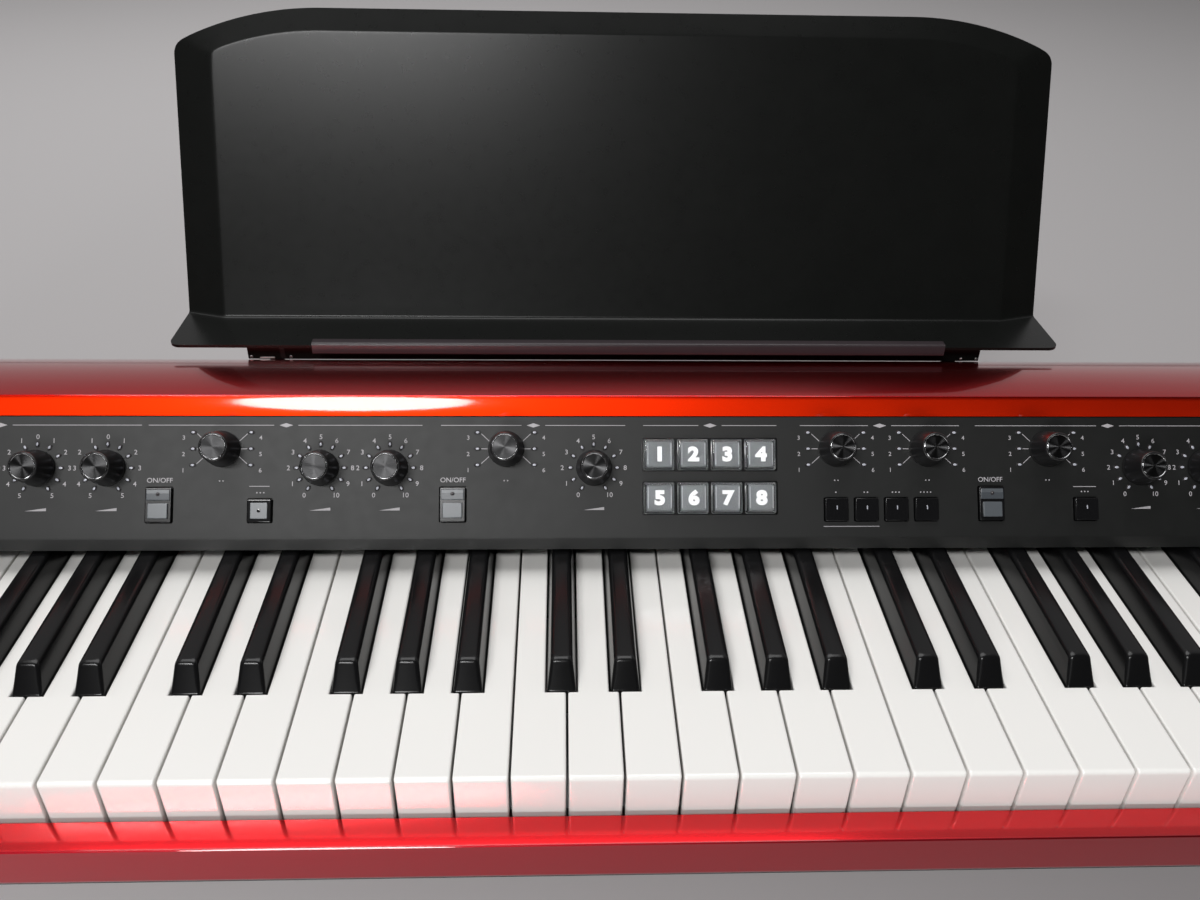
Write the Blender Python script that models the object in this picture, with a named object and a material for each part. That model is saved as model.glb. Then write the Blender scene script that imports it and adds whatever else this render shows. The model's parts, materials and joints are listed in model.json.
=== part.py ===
"""Stage piano with 73 keys: the construction, at its real size.

Lengths are in millimetres and are turned into metres when a mesh is made.
X runs to the player's right, +Y to the rear and +Z up. The origin lies on the
floor, under the middle of the body. Every piece is one closed solid, and a
piece that moves has its origin on its joint's axis.
"""
import math

import bmesh
import bpy

MM = 0.001
ROUND_SIDES = 12

# Keyboard
WHITE_PITCH = 23.5
WHITE_COUNT = 43
WHITE_MIDDLE = WHITE_COUNT // 2
WHITE_LETTERS = "EFGABCD"
BLACK_OFFSETS = {"F": -3.2, "G": 0.0, "A": 3.2, "C": -2.4, "D": 2.4}
KEY_GAP = 1.0
KEY_TOP_Z = 74.0
KEY_THICKNESS = 14.0
KEY_LIP_DROP = 25.0
KEY_LIP_THICKNESS = 3.0
KEY_TO_PIVOT = 222.0
PIVOT_BELOW_TOP = 20.0
ROD_RADIUS = 3.0
ROD_CLEARANCE = 0.45
NOTCH_SIDES = 10
BOSS_HALF_DEPTH = 6.0
WHITE_TAIL_DROP = 3.0
WHITE_TAIL_END = 14.0
WHITE_STEP = 152.0
WHITE_BAR_FRONT = 6.0
BANK_BAR_HEIGHT = 10.0
BANK_BAR_BELOW_TOP = 18.0
BLACK_WIDTH = 13.0
BLACK_TOP_WIDTH = 9.5
BLACK_SIDE_GAP = 0.75
BLACK_HEIGHT = 12.0
BLACK_FRONT = 48.0
BLACK_SLOPE = 8.0
BLACK_TAIL_WIDTH = 11.0
BLACK_TAIL_HEIGHT = 6.0
BLACK_TAIL_END = 4.0
BLACK_BAR_LIFT = 0.5
BLACK_BAR_FRONT = 10.0
BLACK_BAR_REAR = 2.0

# Body
BODY_DEPTH = 347.0
RAIL_DEPTH = 16.4
RAIL_LEAN = 2.7
RAIL_TOP_BELOW_KEYS = 20.0
RAIL_HEIGHT = 17.0
RAIL_RETURN = 13.5
RAIL_WALL = 3.0
KEY_RAIL_GAP = 2.6
SEAM = 0.3
CHEEK_WIDTH = 65.95
CHEEK_ROUND = 9.0
CHEEK_TOP_LIFT = 9.5
CHEEK_WALL = 3.5
CHEEK_FLAT_FROM_PANEL = 38.5
CHEEK_SLOPE = 71.4
CHEEK_NOSE = (11.0, 16.0)
CHEEK_FRONT_EASE = 60.0
CHEEK_REAR_EASE = 15.0
CHEEK_BEND = 13.3
CHEEK_HOLLOW_FRONT = 20.0
TRAY_BOTTOM_Z = 8.0
TRAY_WALL = 1.2
TRAY_FRONT_SETBACK = 20.5
TRAY_FLANGE_SETBACK = 5.0
REAR_PANEL_WALL = 2.0
REAR_PANEL_SETBACK = 3.8
REAR_PANEL_OVERLAP = 3.0
SHELL_WALL = 3.0
SHELL_BOTTOM_Z = 59.0

# Sloping control panel
PANEL_FROM_KEY_FRONT = 133.0
PANEL_ABOVE_KEYS = 20.1
PANEL_TILT = math.radians(53.0)
PANEL_FACE = 61.0
PANEL_WALL = 2.0
PANEL_LIP_DROP = 6.6
PANEL_LIP_FORWARD = 1.0
BOARD_DEPTH = 14.0
BOARD_WALL = 1.6
BOARD_LOW = 8.0
BOARD_HIGH = 58.0
BOARD_MARGIN = 20.0

# Crest of the rear shell, from the panel's top edge
CREASE_BACK = 3.1
CREASE_RISE = 10.3
CREST_BACK = 14.3
CREST_RISE = 1.15
CREST_RADIUS = 89.3
CREST_TURN = math.radians(27.7)

# Controls, as (X, distance up the panel)
RING_ROW = 35.2
SELECTOR_ROW = 44.7
SWITCH_ROW = 16.7
SMALL_ROW = 13.8
KNOBS = {
    "volume_knob": (-400.0, RING_ROW),
    "eq_bass_knob": (-331.8, RING_ROW),
    "eq_mid_knob": (-297.4, RING_ROW),
    "eq_treble_knob": (-263.1, RING_ROW),
    "pre_effect_type_knob": (-207.0, SELECTOR_ROW),
    "pre_effect_speed_knob": (-158.2, RING_ROW),
    "pre_effect_intensity_knob": (-123.8, RING_ROW),
    "amp_type_knob": (-65.7, SELECTOR_ROW),
    "amp_drive_knob": (-21.5, RING_ROW),
    "sound_type_knob": (102.0, SELECTOR_ROW),
    "sound_variation_knob": (148.9, SELECTOR_ROW),
    "modulation_type_knob": (211.2, SELECTOR_ROW),
    "modulation_speed_knob": (259.3, RING_ROW),
    "modulation_intensity_knob": (293.7, RING_ROW),
    "reverb_type_knob": (358.0, SELECTOR_ROW),
    "reverb_depth_knob": (402.0, RING_ROW),
}
SWITCHES = {
    "eq_switch": -366.0,
    "pre_effect_switch": -237.2,
    "amp_switch": -92.2,
    "modulation_switch": 181.4,
    "reverb_switch": 331.0,
}
SMALL_BUTTONS = {"auto_pedal_button": -187.7, "slow_fast_button": 230.4}
FUNCTION_BUTTON_X = (101.6, 117.0, 132.4, 147.8)
FAVOURITE_MIDDLE_X = 37.3
FAVOURITE_PITCH = 17.15
FAVOURITE_ROWS = (41.8, 19.8)
FAVOURITE_FLANGE_GAP = 1.0

KNOB_BASE_RADIUS = 9.0
KNOB_TOP_RADIUS = 7.0
KNOB_HEIGHT = 14.5
KNOB_LIFT = 0.5
KNOB_EDGE = 0.8
KNOB_SKIRT = 1.5
KNOB_SIDES = 14
SHAFT_RADIUS = 3.0
SHAFT_CLEARANCE = 0.6
ENCODER_SIZE = 12.4
ENCODER_HEIGHT = 6.0
SWITCH_HOLE = (13.6, 18.0)
SMALL_HOLE = (12.6, 12.2)
FAVOURITE_HOLE = (15.8, 16.0)
BUTTON_CLEARANCE = 0.4
BUTTON_TRAVEL = 1.0
BUTTON_FLANGE = 1.0
BUTTON_FLANGE_OVERLAP = 1.2
BUTTON_STEM = 4.0
BUTTON_EDGE = 0.6
SWITCH_CAP_HEIGHT = 2.6
SMALL_CAP_HEIGHT = 2.2
FAVOURITE_CAP_HEIGHT = 3.5
TACT_SIZE = 6.0
TACT_HEIGHT = 4.7
STANDOFF_X = (-414.0, -174.0, -43.0, 84.0, 246.0, 380.0)
STANDOFF_SIZE = 5.0

# Joystick, measured from the panel face at its pivot
JOYSTICK_X = -455.0
JOYSTICK_ROW = 30.0
JOYSTICK_PIVOT_DEPTH = 9.0
BALL_RADIUS = 11.5
BALL_FLAT = math.radians(9.0)
STICK_RADIUS = 3.2
STICK_LENGTH = 30.0
STICK_GRIP_RADIUS = 7.0
STICK_GRIP_HEIGHT = 11.0
STICK_GRIP_EDGE = 1.5
GIMBAL_CLEARANCE = 0.5
GIMBAL_WALL = 1.5
GIMBAL_THICKNESS = 3.0
GIMBAL_PIN_RADIUS = 1.4
GIMBAL_PIN_LENGTH = 2.0
GIMBAL_PIN_SIDES = 8
LUG_THICKNESS = 2.5
LUG_DEPTH = 12.0
LUG_HALF = 4.0
BALL_HOLE_CLEARANCE = 0.4
BALL_HOLE_SIDES = 20
BALL_SIDES = 16
BALL_STEPS = 7

# Inside
KEYBED_TOP_BELOW_KEYS = 29.0
KEYBED_WALL = 1.2
KEYBED_FRONT_SETBACK = 8.5
KEYBED_REAR = 12.5
CONTACT_BOARD_FRONT = 128.0
CONTACT_BOARD_DEPTH = 44.0
CONTACT_BOARD_WALL = 1.6
CONTACT_BOARD_INSET = 10.0
CONTACT_STRIP_DEPTH = 12.0
CONTACT_STRIP_HEIGHT = 8.0

# Rear sockets: kind, X, opening radius and half the body's width
JACK_BOARD_FROM_PANEL = 25.0
SOCKET_Z = 35.0
SOCKET_ROOM = 20.0
SOCKETS = (
    ("round", -405.0, 3.4, 9.0),
    ("usb", -370.0, 4.3, 8.0),
    ("round", -335.0, 7.2, 10.0),
    ("round", -305.0, 7.2, 10.0),
    ("round", -250.0, 3.4, 8.0),
    ("round", -222.0, 3.4, 8.0),
    ("round", -194.0, 3.4, 8.0),
    ("round", -140.0, 3.4, 8.0),
    ("round", -112.0, 3.4, 8.0),
    ("round", -60.0, 3.4, 8.0),
    ("round", -32.0, 3.4, 8.0),
    ("round", 20.0, 3.4, 8.0),
)
SOCKET_SIDES = 12
USB_NARROWER = 0.6
JACK_BOARD_WALL = 1.6
JACK_BOARD_LIFT = 3.0
JACK_BOARD_MARGIN = 15.0
POWER_X = -440.0
ROCKER_SIZE = (12.0, 17.0)
ROCKER_THICKNESS = 6.0
ROCKER_TURN = math.radians(7.0)
ROCKER_CLEARANCE = 0.5
ROCKER_HOUSING = 3.0
ROCKER_ROOM = 3.0
ROCKER_PROUD = 1.0
ROCKER_DISH = 1.0

# Feet
FOOT_RADIUS = 14.0
FOOT_CHAMFER = 1.5
FOOT_SIDES = 20
FOOT_INSET_X = 35.0
FOOT_INSET_FRONT = 33.0
FOOT_INSET_REAR = 43.5

# Music desk
DESK_X = -5.6
DESK_HALF_WIDTH = 242.7
DESK_BEHIND_CREST = 35.2
DESK_ABOVE_CREST = 1.7
DESK_LEDGE_DEPTH = 32.8
DESK_LEDGE_SLOPE = math.radians(1.5)
DESK_TILT = math.radians(23.1)
DESK_HEIGHT = 166.2
DESK_WALL = 1.6
DESK_STRAIGHT_HALF = 162.0
DESK_ARC_RADIUS = 178.0
DESK_CORNER = 8.0
DESK_SIDE_BAND = 21.3
DESK_TOP_BAND = 12.5
DESK_BAND_BEND = math.radians(15.0)
LEDGE_CORNER = 6.0
LEDGE_INTO_PLATE = 0.96
CORNER_SHARE = 0.3
STRIP_SPAN = (-165.9, 177.6)
STRIP_HEIGHT = 7.0
STRIP_DEPTH = 5.6
STRIP_OUT = 2.8
STRIP_CLEARANCE = 0.4
BRACKET_SPAN = (-203.4, 201.6)
BRACKET_WALL = 2.0
BRACKET_LIFT = 0.5
BRACKET_FRONT = 6.5
BRACKET_TOP_DEPTH = 22.0
BRACKET_FOOT_DEPTH = 22.0
BRACKET_PIN_INSET = 12.0
BRACKET_PIN_RADIUS = 4.0
BRACKET_PIN_DROP = 22.0
BRACKET_PIN_BACK = 12.0
PIN_CLEARANCE = 0.4

# Places that follow from the sizes above
HALF_KEYBOARD = WHITE_COUNT * WHITE_PITCH / 2
CHEEK_INNER = HALF_KEYBOARD + SEAM
CHEEK_OUTER = CHEEK_INNER + CHEEK_WIDTH
BETWEEN_CHEEKS = CHEEK_INNER - SEAM
Y_FRONT = -BODY_DEPTH / 2
Y_REAR = BODY_DEPTH / 2
RAIL_BACK_Y = Y_FRONT + RAIL_DEPTH
RAIL_TOP_Z = KEY_TOP_Z - RAIL_TOP_BELOW_KEYS
RAIL_BOTTOM_Z = RAIL_TOP_Z - RAIL_HEIGHT
KEY_FRONT_Y = RAIL_BACK_Y + KEY_RAIL_GAP
KEY_UNDER_Z = KEY_TOP_Z - KEY_THICKNESS
PIVOT_Y = KEY_FRONT_Y + KEY_TO_PIVOT
PIVOT_Z = KEY_TOP_Z - PIVOT_BELOW_TOP
PANEL_Y = KEY_FRONT_Y + PANEL_FROM_KEY_FRONT
PANEL_Z = KEY_TOP_Z + PANEL_ABOVE_KEYS
PANEL_TOP = (
    PANEL_Y + PANEL_FACE * math.cos(PANEL_TILT),
    PANEL_Z + PANEL_FACE * math.sin(PANEL_TILT),
)
CREASE = (PANEL_TOP[0] + CREASE_BACK, PANEL_TOP[1] + CREASE_RISE)
CREST = (CREASE[0] + CREST_BACK, CREASE[1] + CREST_RISE)
TRAY_FRONT_Y = Y_FRONT + TRAY_FRONT_SETBACK
TRAY_TOP_Z = TRAY_BOTTOM_Z + TRAY_WALL
REAR_PANEL_Y = Y_REAR - REAR_PANEL_SETBACK
FOOT_TOP_Z = TRAY_BOTTOM_Z - SEAM
DESK_LEDGE_FRONT = (CREST[0] + DESK_BEHIND_CREST, CREST[1] + DESK_ABOVE_CREST)
OVERLAP = 1.0


def clear_scene():
    """Remove every object, so that the script starts from nothing."""
    for item in list(bpy.data.objects):
        bpy.data.objects.remove(item, do_unlink=True)


def make_material(name, colour, roughness, metallic=0.0):
    """A Principled material with one colour."""
    material = bpy.data.materials.new(name)
    material.use_nodes = True
    shader = material.node_tree.nodes["Principled BSDF"]
    shader.inputs["Base Color"].default_value = (*colour, 1.0)
    shader.inputs["Roughness"].default_value = roughness
    shader.inputs["Metallic"].default_value = metallic
    material.diffuse_color = (*colour, 1.0)
    return material


def prism_x(outline, low, high):
    """A prism along X from a closed outline of (y, z) points."""
    count = len(outline)
    points = [(low, y, z) for y, z in outline] + [(high, y, z) for y, z in outline]
    faces = [tuple(range(count)), tuple(range(2 * count - 1, count - 1, -1))]
    for i in range(count):
        after = (i + 1) % count
        faces.append((i, i + count, after + count, after))
    return points, faces


def prism_z(outline, low, high):
    """A prism along Z from a closed outline of (x, y) points."""
    points, faces = prism_x(outline, low, high)
    return [(y, z, x) for x, y, z in points], faces


def box(low, high):
    """A box between two corners."""
    corners = [(low[0], low[1]), (high[0], low[1]), (high[0], high[1]), (low[0], high[1])]
    return prism_z(corners, low[2], high[2])


def rectangle(x, y, width, depth):
    """The corners of a rectangle around a point."""
    return [
        (x - width / 2, y - depth / 2),
        (x + width / 2, y - depth / 2),
        (x + width / 2, y + depth / 2),
        (x - width / 2, y + depth / 2),
    ]


def circle(x, y, radius, sides):
    """Points evenly round a circle."""
    turn = 2 * math.pi / sides
    return [
        (x + radius * math.cos(turn * (i + 0.5)), y + radius * math.sin(turn * (i + 0.5)))
        for i in range(sides)
    ]


def loft(loops):
    """A closed solid through loops of equal length, with a flat cap at each end."""
    count = len(loops[0])
    points = [point for loop in loops for point in loop]
    faces = [tuple(range(count))]
    faces.append(tuple(range(len(points) - 1, len(points) - 1 - count, -1)))
    for row in range(len(loops) - 1):
        start = row * count
        for i in range(count):
            after = (i + 1) % count
            faces.append((start + i, start + after, start + count + after, start + count + i))
    return points, faces


def turned(profile, sides, x=0.0, y=0.0):
    """A solid of revolution about Z from (radius, z) points, with flat ends."""
    return loft([[(px, py, z) for px, py in circle(x, y, r, sides)] for r, z in profile])


def rod_x(y, z, radius, low, high, sides):
    """A round rod along X."""
    return prism_x(circle(y, z, radius, sides), low, high)


def bezier(start, first, second, end, steps):
    """Points along a cubic curve, without its start."""
    points = []
    for i in range(1, steps + 1):
        t = i / steps
        u = 1 - t
        points.append(tuple(
            u ** 3 * start[k] + 3 * u * u * t * first[k] + 3 * u * t * t * second[k] + t ** 3 * end[k]
            for k in range(2)
        ))
    return points


def unit(start, end):
    """The unit vector from one point to another."""
    dy = end[0] - start[0]
    dz = end[1] - start[1]
    length = math.hypot(dy, dz)
    return dy / length, dz / length


def offset_points(points, distance, closed):
    """Points moved to their line's right-hand side, with mitred corners."""
    moved = []
    count = len(points)
    for i in range(count):
        before = points[i - 1] if closed or i > 0 else None
        after = points[(i + 1) % count] if closed or i < count - 1 else None
        sides = []
        if before is not None:
            sides.append(unit(before, points[i]))
        if after is not None:
            sides.append(unit(points[i], after))
        normals = [(dz, -dy) for dy, dz in sides]
        ny = sum(n[0] for n in normals) / len(normals)
        nz = sum(n[1] for n in normals) / len(normals)
        scale = distance / (ny * ny + nz * nz)
        moved.append((points[i][0] + ny * scale, points[i][1] + nz * scale))
    return moved


def sheet(points, thickness):
    """The outline of a bent sheet whose outer face follows the points."""
    return points + offset_points(points, thickness, closed=False)[::-1]


def mesh_from(name, solids, origin=(0.0, 0.0, 0.0)):
    """One mesh from solids in millimetres, measured from an origin, faces outwards."""
    mesh = bpy.data.meshes.new(name)
    work = bmesh.new()
    for points, faces in solids:
        made = [
            work.verts.new([(p[k] - origin[k]) * MM for k in range(3)])
            for p in points
        ]
        for face in faces:
            work.faces.new([made[i] for i in face])
    bmesh.ops.recalc_face_normals(work, faces=work.faces)
    work.to_mesh(mesh)
    work.free()
    return mesh


def add_object(name, mesh, parent, origin=(0.0, 0.0, 0.0)):
    """Put a mesh into the scene under a parent."""
    item = bpy.data.objects.new(name, mesh)
    bpy.context.scene.collection.objects.link(item)
    item.parent = parent
    item.location = [value * MM for value in origin]
    return item


def add_cutter(target, suffix, solids, parent, origin=(0.0, 0.0, 0.0)):
    """A hidden helper solid for a Boolean."""
    name = target.name + suffix
    helper = add_object(name, mesh_from(name, solids, origin), parent, origin)
    helper.hide_render = True
    helper.display_type = "WIRE"
    return helper


def add_boolean(target, helper, operation):
    """A live Boolean on the target."""
    modifier = target.modifiers.new(helper.name, "BOOLEAN")
    modifier.operation = operation
    modifier.solver = "EXACT"
    modifier.use_self = True
    modifier.object = helper


def add_piece(name, solids, material, parent, origin=(0.0, 0.0, 0.0), cuts=(), smooth=False):
    """One named piece: its solids joined, and its cuts taken away."""
    mesh = mesh_from(name, solids[:1], origin)
    mesh.materials.append(material)
    if smooth:
        mesh.shade_smooth()
        mesh.set_sharp_from_angle(angle=math.radians(35))
    piece = add_object(name, mesh, parent, origin)
    if len(solids) > 1:
        add_boolean(piece, add_cutter(piece, "_joined", solids[1:], parent, origin), "UNION")
    if cuts:
        add_boolean(piece, add_cutter(piece, "_cuts", cuts, parent, origin), "DIFFERENCE")
    return piece


def shell_curve():
    """The shell's outer line from its front edge over the crest to the rear."""
    front = (PANEL_TOP[0] + SEAM, PANEL_TOP[1] + SEAM)
    points = [front, CREASE]
    first = (CREASE[0] + CREST_BACK / 3, CREASE[1] + CREST_RISE * 2 / 3)
    points += bezier(CREASE, first, (CREST[0] - CREST_BACK / 3, CREST[1]), CREST, 3)
    for i in range(1, 5):
        turn = CREST_TURN * i / 4
        points.append((
            CREST[0] + CREST_RADIUS * math.sin(turn),
            CREST[1] - CREST_RADIUS * (1 - math.cos(turn)),
        ))
    start = points[-1]
    end = (Y_REAR, SHELL_BOTTOM_Z)
    reach = (end[0] - start[0]) * 0.45
    first = (start[0] + reach * math.cos(CREST_TURN), start[1] - reach * math.sin(CREST_TURN))
    points += bezier(start, first, (end[0], end[1] + (start[1] - end[1]) * 0.4), end, 8)
    return points


def shell_height(y):
    """The height of the shell's outer face at a distance behind the crest."""
    points = shell_curve()
    for before, after in zip(points[2:], points[3:]):
        if before[0] <= y <= after[0]:
            share = (y - before[0]) / (after[0] - before[0])
            return before[1] + share * (after[1] - before[1])
    return points[-1][1]


def cheek_outline():
    """The side view of an end cheek, from its lower front corner round to the rear."""
    flat_y = PANEL_Y - CHEEK_FLAT_FROM_PANEL
    flat = (flat_y, KEY_TOP_Z + CHEEK_TOP_LIFT)
    ridge = (Y_FRONT + RAIL_LEAN, RAIL_TOP_Z)
    slope = (math.cos(PANEL_TILT), math.sin(PANEL_TILT))
    foot_of_slope = (CREASE[0] - CHEEK_SLOPE * slope[0], CREASE[1] - CHEEK_SLOPE * slope[1])
    points = [(TRAY_FRONT_Y, TRAY_BOTTOM_Z), (TRAY_FRONT_Y, RAIL_BOTTOM_Z), (Y_FRONT, RAIL_BOTTOM_Z), ridge]
    nose = (ridge[0] + CHEEK_NOSE[0], ridge[1] + CHEEK_NOSE[1])
    points += bezier(ridge, nose, (flat_y - CHEEK_FRONT_EASE, flat[1]), flat, 8)
    bend = (foot_of_slope[0] - CHEEK_BEND * slope[0], foot_of_slope[1] - CHEEK_BEND * slope[1])
    points += bezier(flat, (flat_y + CHEEK_REAR_EASE, flat[1]), bend, foot_of_slope, 5)
    points += shell_curve()[1:]
    points.append((Y_REAR, TRAY_BOTTOM_Z))
    return points


def make_cheek(name, side, material, parent):
    """An end cheek: the side view carried outwards, with a rounded outer edge and a hollow."""
    outline = cheek_outline()
    loops = [[(side * CHEEK_INNER, y, z) for y, z in outline]]
    for i in range(4):
        turn = math.pi / 6 * i
        x = CHEEK_OUTER - CHEEK_ROUND * (1 - math.sin(turn))
        inset = offset_points(outline, CHEEK_ROUND * (1 - math.cos(turn)), closed=True)
        loops.append([(side * x, y, z) for y, z in inset])
    inner = CHEEK_INNER + CHEEK_WALL
    outer = CHEEK_OUTER - CHEEK_ROUND - CHEEK_WALL
    hollow = box(
        (min(side * inner, side * outer), KEY_FRONT_Y + CHEEK_HOLLOW_FRONT, TRAY_BOTTOM_Z - OVERLAP),
        (max(side * inner, side * outer), Y_REAR - CHEEK_ROUND - CHEEK_WALL, KEY_TOP_Z - CHEEK_WALL),
    )
    return add_piece(name, [loft(loops)], material, parent, cuts=[hollow], smooth=True)


def make_casework(materials, root):
    """The tray, rail, shell, cheeks, rear panel and feet."""
    flange_z = RAIL_BOTTOM_Z - SEAM - TRAY_WALL
    tray = sheet([
        (Y_FRONT + TRAY_FLANGE_SETBACK, flange_z),
        (TRAY_FRONT_Y, flange_z),
        (TRAY_FRONT_Y, TRAY_BOTTOM_Z),
        (Y_REAR, TRAY_BOTTOM_Z),
    ][::-1], TRAY_WALL)
    add_piece("base_tray", [prism_x(tray, -BETWEEN_CHEEKS, BETWEEN_CHEEKS)], materials["black_steel"], root)

    rail = sheet([
        (Y_FRONT + RAIL_RETURN, RAIL_BOTTOM_Z),
        (Y_FRONT, RAIL_BOTTOM_Z),
        (Y_FRONT + RAIL_LEAN, RAIL_TOP_Z),
        (RAIL_BACK_Y, RAIL_TOP_Z),
    ], RAIL_WALL)
    add_piece("front_rail", [prism_x(rail, -BETWEEN_CHEEKS, BETWEEN_CHEEKS)], materials["red_paint"], root)

    pin_holes = [
        prism_z(circle(x, bracket_pin_y(), BRACKET_PIN_RADIUS + PIN_CLEARANCE, ROUND_SIDES),
                SHELL_BOTTOM_Z, CREST[1])
        for x in bracket_pin_x()
    ]
    shell = prism_x(sheet(shell_curve(), SHELL_WALL), -BETWEEN_CHEEKS, BETWEEN_CHEEKS)
    add_piece("rear_shell", [shell], materials["red_paint"], root, cuts=pin_holes, smooth=True)

    make_cheek("left_end_cheek", -1, materials["red_paint"], root)
    make_cheek("right_end_cheek", 1, materials["red_paint"], root)

    plate = box(
        (-BETWEEN_CHEEKS, REAR_PANEL_Y - REAR_PANEL_WALL, TRAY_TOP_Z + SEAM),
        (BETWEEN_CHEEKS, REAR_PANEL_Y, SHELL_BOTTOM_Z + REAR_PANEL_OVERLAP),
    )
    holes = [socket_hole(socket, REAR_PANEL_Y - REAR_PANEL_WALL - OVERLAP, REAR_PANEL_Y + OVERLAP)
             for socket in SOCKETS]
    holes.append(rocker_hole(REAR_PANEL_Y - REAR_PANEL_WALL - OVERLAP, REAR_PANEL_Y + OVERLAP))
    add_piece("rear_panel", [plate], materials["black_steel"], root, cuts=holes)

    front_y = TRAY_FRONT_Y + FOOT_INSET_FRONT
    rear_y = Y_REAR - FOOT_INSET_REAR
    for name, x_side, y in (
        ("front_left_foot", -1, front_y),
        ("front_right_foot", 1, front_y),
        ("rear_left_foot", -1, rear_y),
        ("rear_right_foot", 1, rear_y),
    ):
        x = x_side * (HALF_KEYBOARD - FOOT_INSET_X)
        foot = turned([
            (FOOT_RADIUS - FOOT_CHAMFER, 0.0),
            (FOOT_RADIUS, FOOT_CHAMFER),
            (FOOT_RADIUS, FOOT_TOP_Z),
        ], FOOT_SIDES)
        place = (x, y, 0.0)
        mesh = mesh_from(name, [foot])
        mesh.materials.append(materials["rubber"])
        add_object(name, mesh, root, place)


def socket_hole(socket, low_y, high_y):
    """The room for a plug, as a solid along Y."""
    kind, x, radius, _ = socket
    if kind == "usb":
        outline = rectangle(x, SOCKET_Z, 2 * radius, 2 * radius - USB_NARROWER)
    else:
        outline = circle(x, SOCKET_Z, radius, SOCKET_SIDES)
    points, faces = prism_z(outline, low_y, high_y)
    return [(px, pz, py) for px, py, pz in points], faces


def rocker_hole(low_y, high_y):
    """The window that the power rocker turns in."""
    width = ROCKER_SIZE[0] + 2 * ROCKER_CLEARANCE
    height = ROCKER_SIZE[1] + 4 * ROCKER_CLEARANCE
    points, faces = prism_z(rectangle(POWER_X, SOCKET_Z, width, height), low_y, high_y)
    return [(px, pz, py) for px, py, pz in points], faces


def make_jack_board(materials, root):
    """The upright board behind the rear panel, with every socket's body on it."""
    back = REAR_PANEL_Y - REAR_PANEL_WALL - SEAM
    front = back - JACK_BOARD_FROM_PANEL
    low_x = POWER_X - ROCKER_SIZE[0]
    high_x = SOCKETS[-1][1] + JACK_BOARD_MARGIN
    board = box(
        (low_x, front, TRAY_TOP_Z + JACK_BOARD_LIFT),
        (high_x, front + JACK_BOARD_WALL, SHELL_BOTTOM_Z),
    )
    solids = [board]
    for _, x, _, half in SOCKETS:
        solids.append(box((x - half, front + JACK_BOARD_WALL / 2, SOCKET_Z - half),
                          (x + half, back, SOCKET_Z + half)))
    housing = (ROCKER_SIZE[0] / 2 + ROCKER_HOUSING, ROCKER_SIZE[1] / 2 + ROCKER_HOUSING)
    solids.append(box((POWER_X - housing[0], front + JACK_BOARD_WALL / 2, SOCKET_Z - housing[1]),
                      (POWER_X + housing[0], back, SOCKET_Z + housing[1])))
    cuts = [socket_hole(socket, back - SOCKET_ROOM, back + OVERLAP) for socket in SOCKETS]
    cuts.append(rocker_hole(back - ROCKER_THICKNESS - ROCKER_ROOM, back + OVERLAP))
    add_piece("rear_jack_board", solids, materials["circuit_board"], root, cuts=cuts)

    place = (POWER_X, REAR_PANEL_Y - ROCKER_THICKNESS / 2 + ROCKER_PROUD, SOCKET_Z)
    half_x = ROCKER_SIZE[0] / 2
    half_z = ROCKER_SIZE[1] / 2
    half_y = ROCKER_THICKNESS / 2
    lifted = half_y + ROCKER_DISH
    outline = [(-half_y, -half_z), (lifted, -half_z), (half_y, 0.0), (lifted, half_z), (-half_y, half_z)]
    turned_outline = [
        (
            y * math.cos(ROCKER_TURN) - z * math.sin(ROCKER_TURN),
            y * math.sin(ROCKER_TURN) + z * math.cos(ROCKER_TURN),
        )
        for y, z in outline
    ]
    mesh = mesh_from("power_switch", [prism_x(turned_outline, -half_x, half_x)])
    mesh.materials.append(materials["black_plastic"])
    add_object("power_switch", mesh, root, place)


def make_keybed(materials, root):
    """The pressed keybed frame with the pivot rod, and the contact board on it."""
    top = KEY_TOP_Z - KEYBED_TOP_BELOW_KEYS
    front = KEY_FRONT_Y + KEYBED_FRONT_SETBACK
    rear = PIVOT_Y + KEYBED_REAR
    outline = sheet([
        (front, TRAY_TOP_Z + SEAM),
        (front, top),
        (rear, top),
        (rear, TRAY_TOP_Z + SEAM),
    ], KEYBED_WALL)
    span = (-BETWEEN_CHEEKS + SEAM, BETWEEN_CHEEKS - SEAM)
    half_wall = KEYBED_WALL / 2
    wall = box((span[0], PIVOT_Y - half_wall, top - OVERLAP), (span[1], PIVOT_Y + half_wall, PIVOT_Z))
    rod = rod_x(PIVOT_Y, PIVOT_Z, ROD_RADIUS, span[0], span[1], ROUND_SIDES)
    add_piece("keybed_frame", [prism_x(outline, *span), wall, rod], materials["zinc_steel"], root)

    board_front = KEY_FRONT_Y + CONTACT_BOARD_FRONT
    board_low = top + SEAM
    board_high = board_low + CONTACT_BOARD_WALL
    middle = board_front + CONTACT_BOARD_DEPTH / 2
    reach = span[1] - CONTACT_BOARD_INSET
    board = box((-reach, board_front, board_low), (reach, board_front + CONTACT_BOARD_DEPTH, board_high))
    reach -= CONTACT_BOARD_WALL
    strip = box((-reach, middle - CONTACT_STRIP_DEPTH / 2, board_high - CONTACT_BOARD_WALL / 2),
                (reach, middle + CONTACT_STRIP_DEPTH / 2, board_high + CONTACT_STRIP_HEIGHT))
    add_piece("key_contact_board", [board, strip], materials["circuit_board"], root)


def white_middle(index):
    """The X of a white key's middle."""
    return (index - WHITE_MIDDLE) * WHITE_PITCH


def white_letter(index):
    """A white key's note letter."""
    return WHITE_LETTERS[index % len(WHITE_LETTERS)]


def black_middle(index):
    """The X of the black key on the right of a white key, or None where there is none."""
    letter = white_letter(index)
    if letter not in BLACK_OFFSETS or not 0 <= index < WHITE_COUNT - 1:
        return None
    return white_middle(index) + WHITE_PITCH / 2 + BLACK_OFFSETS[letter]


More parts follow.
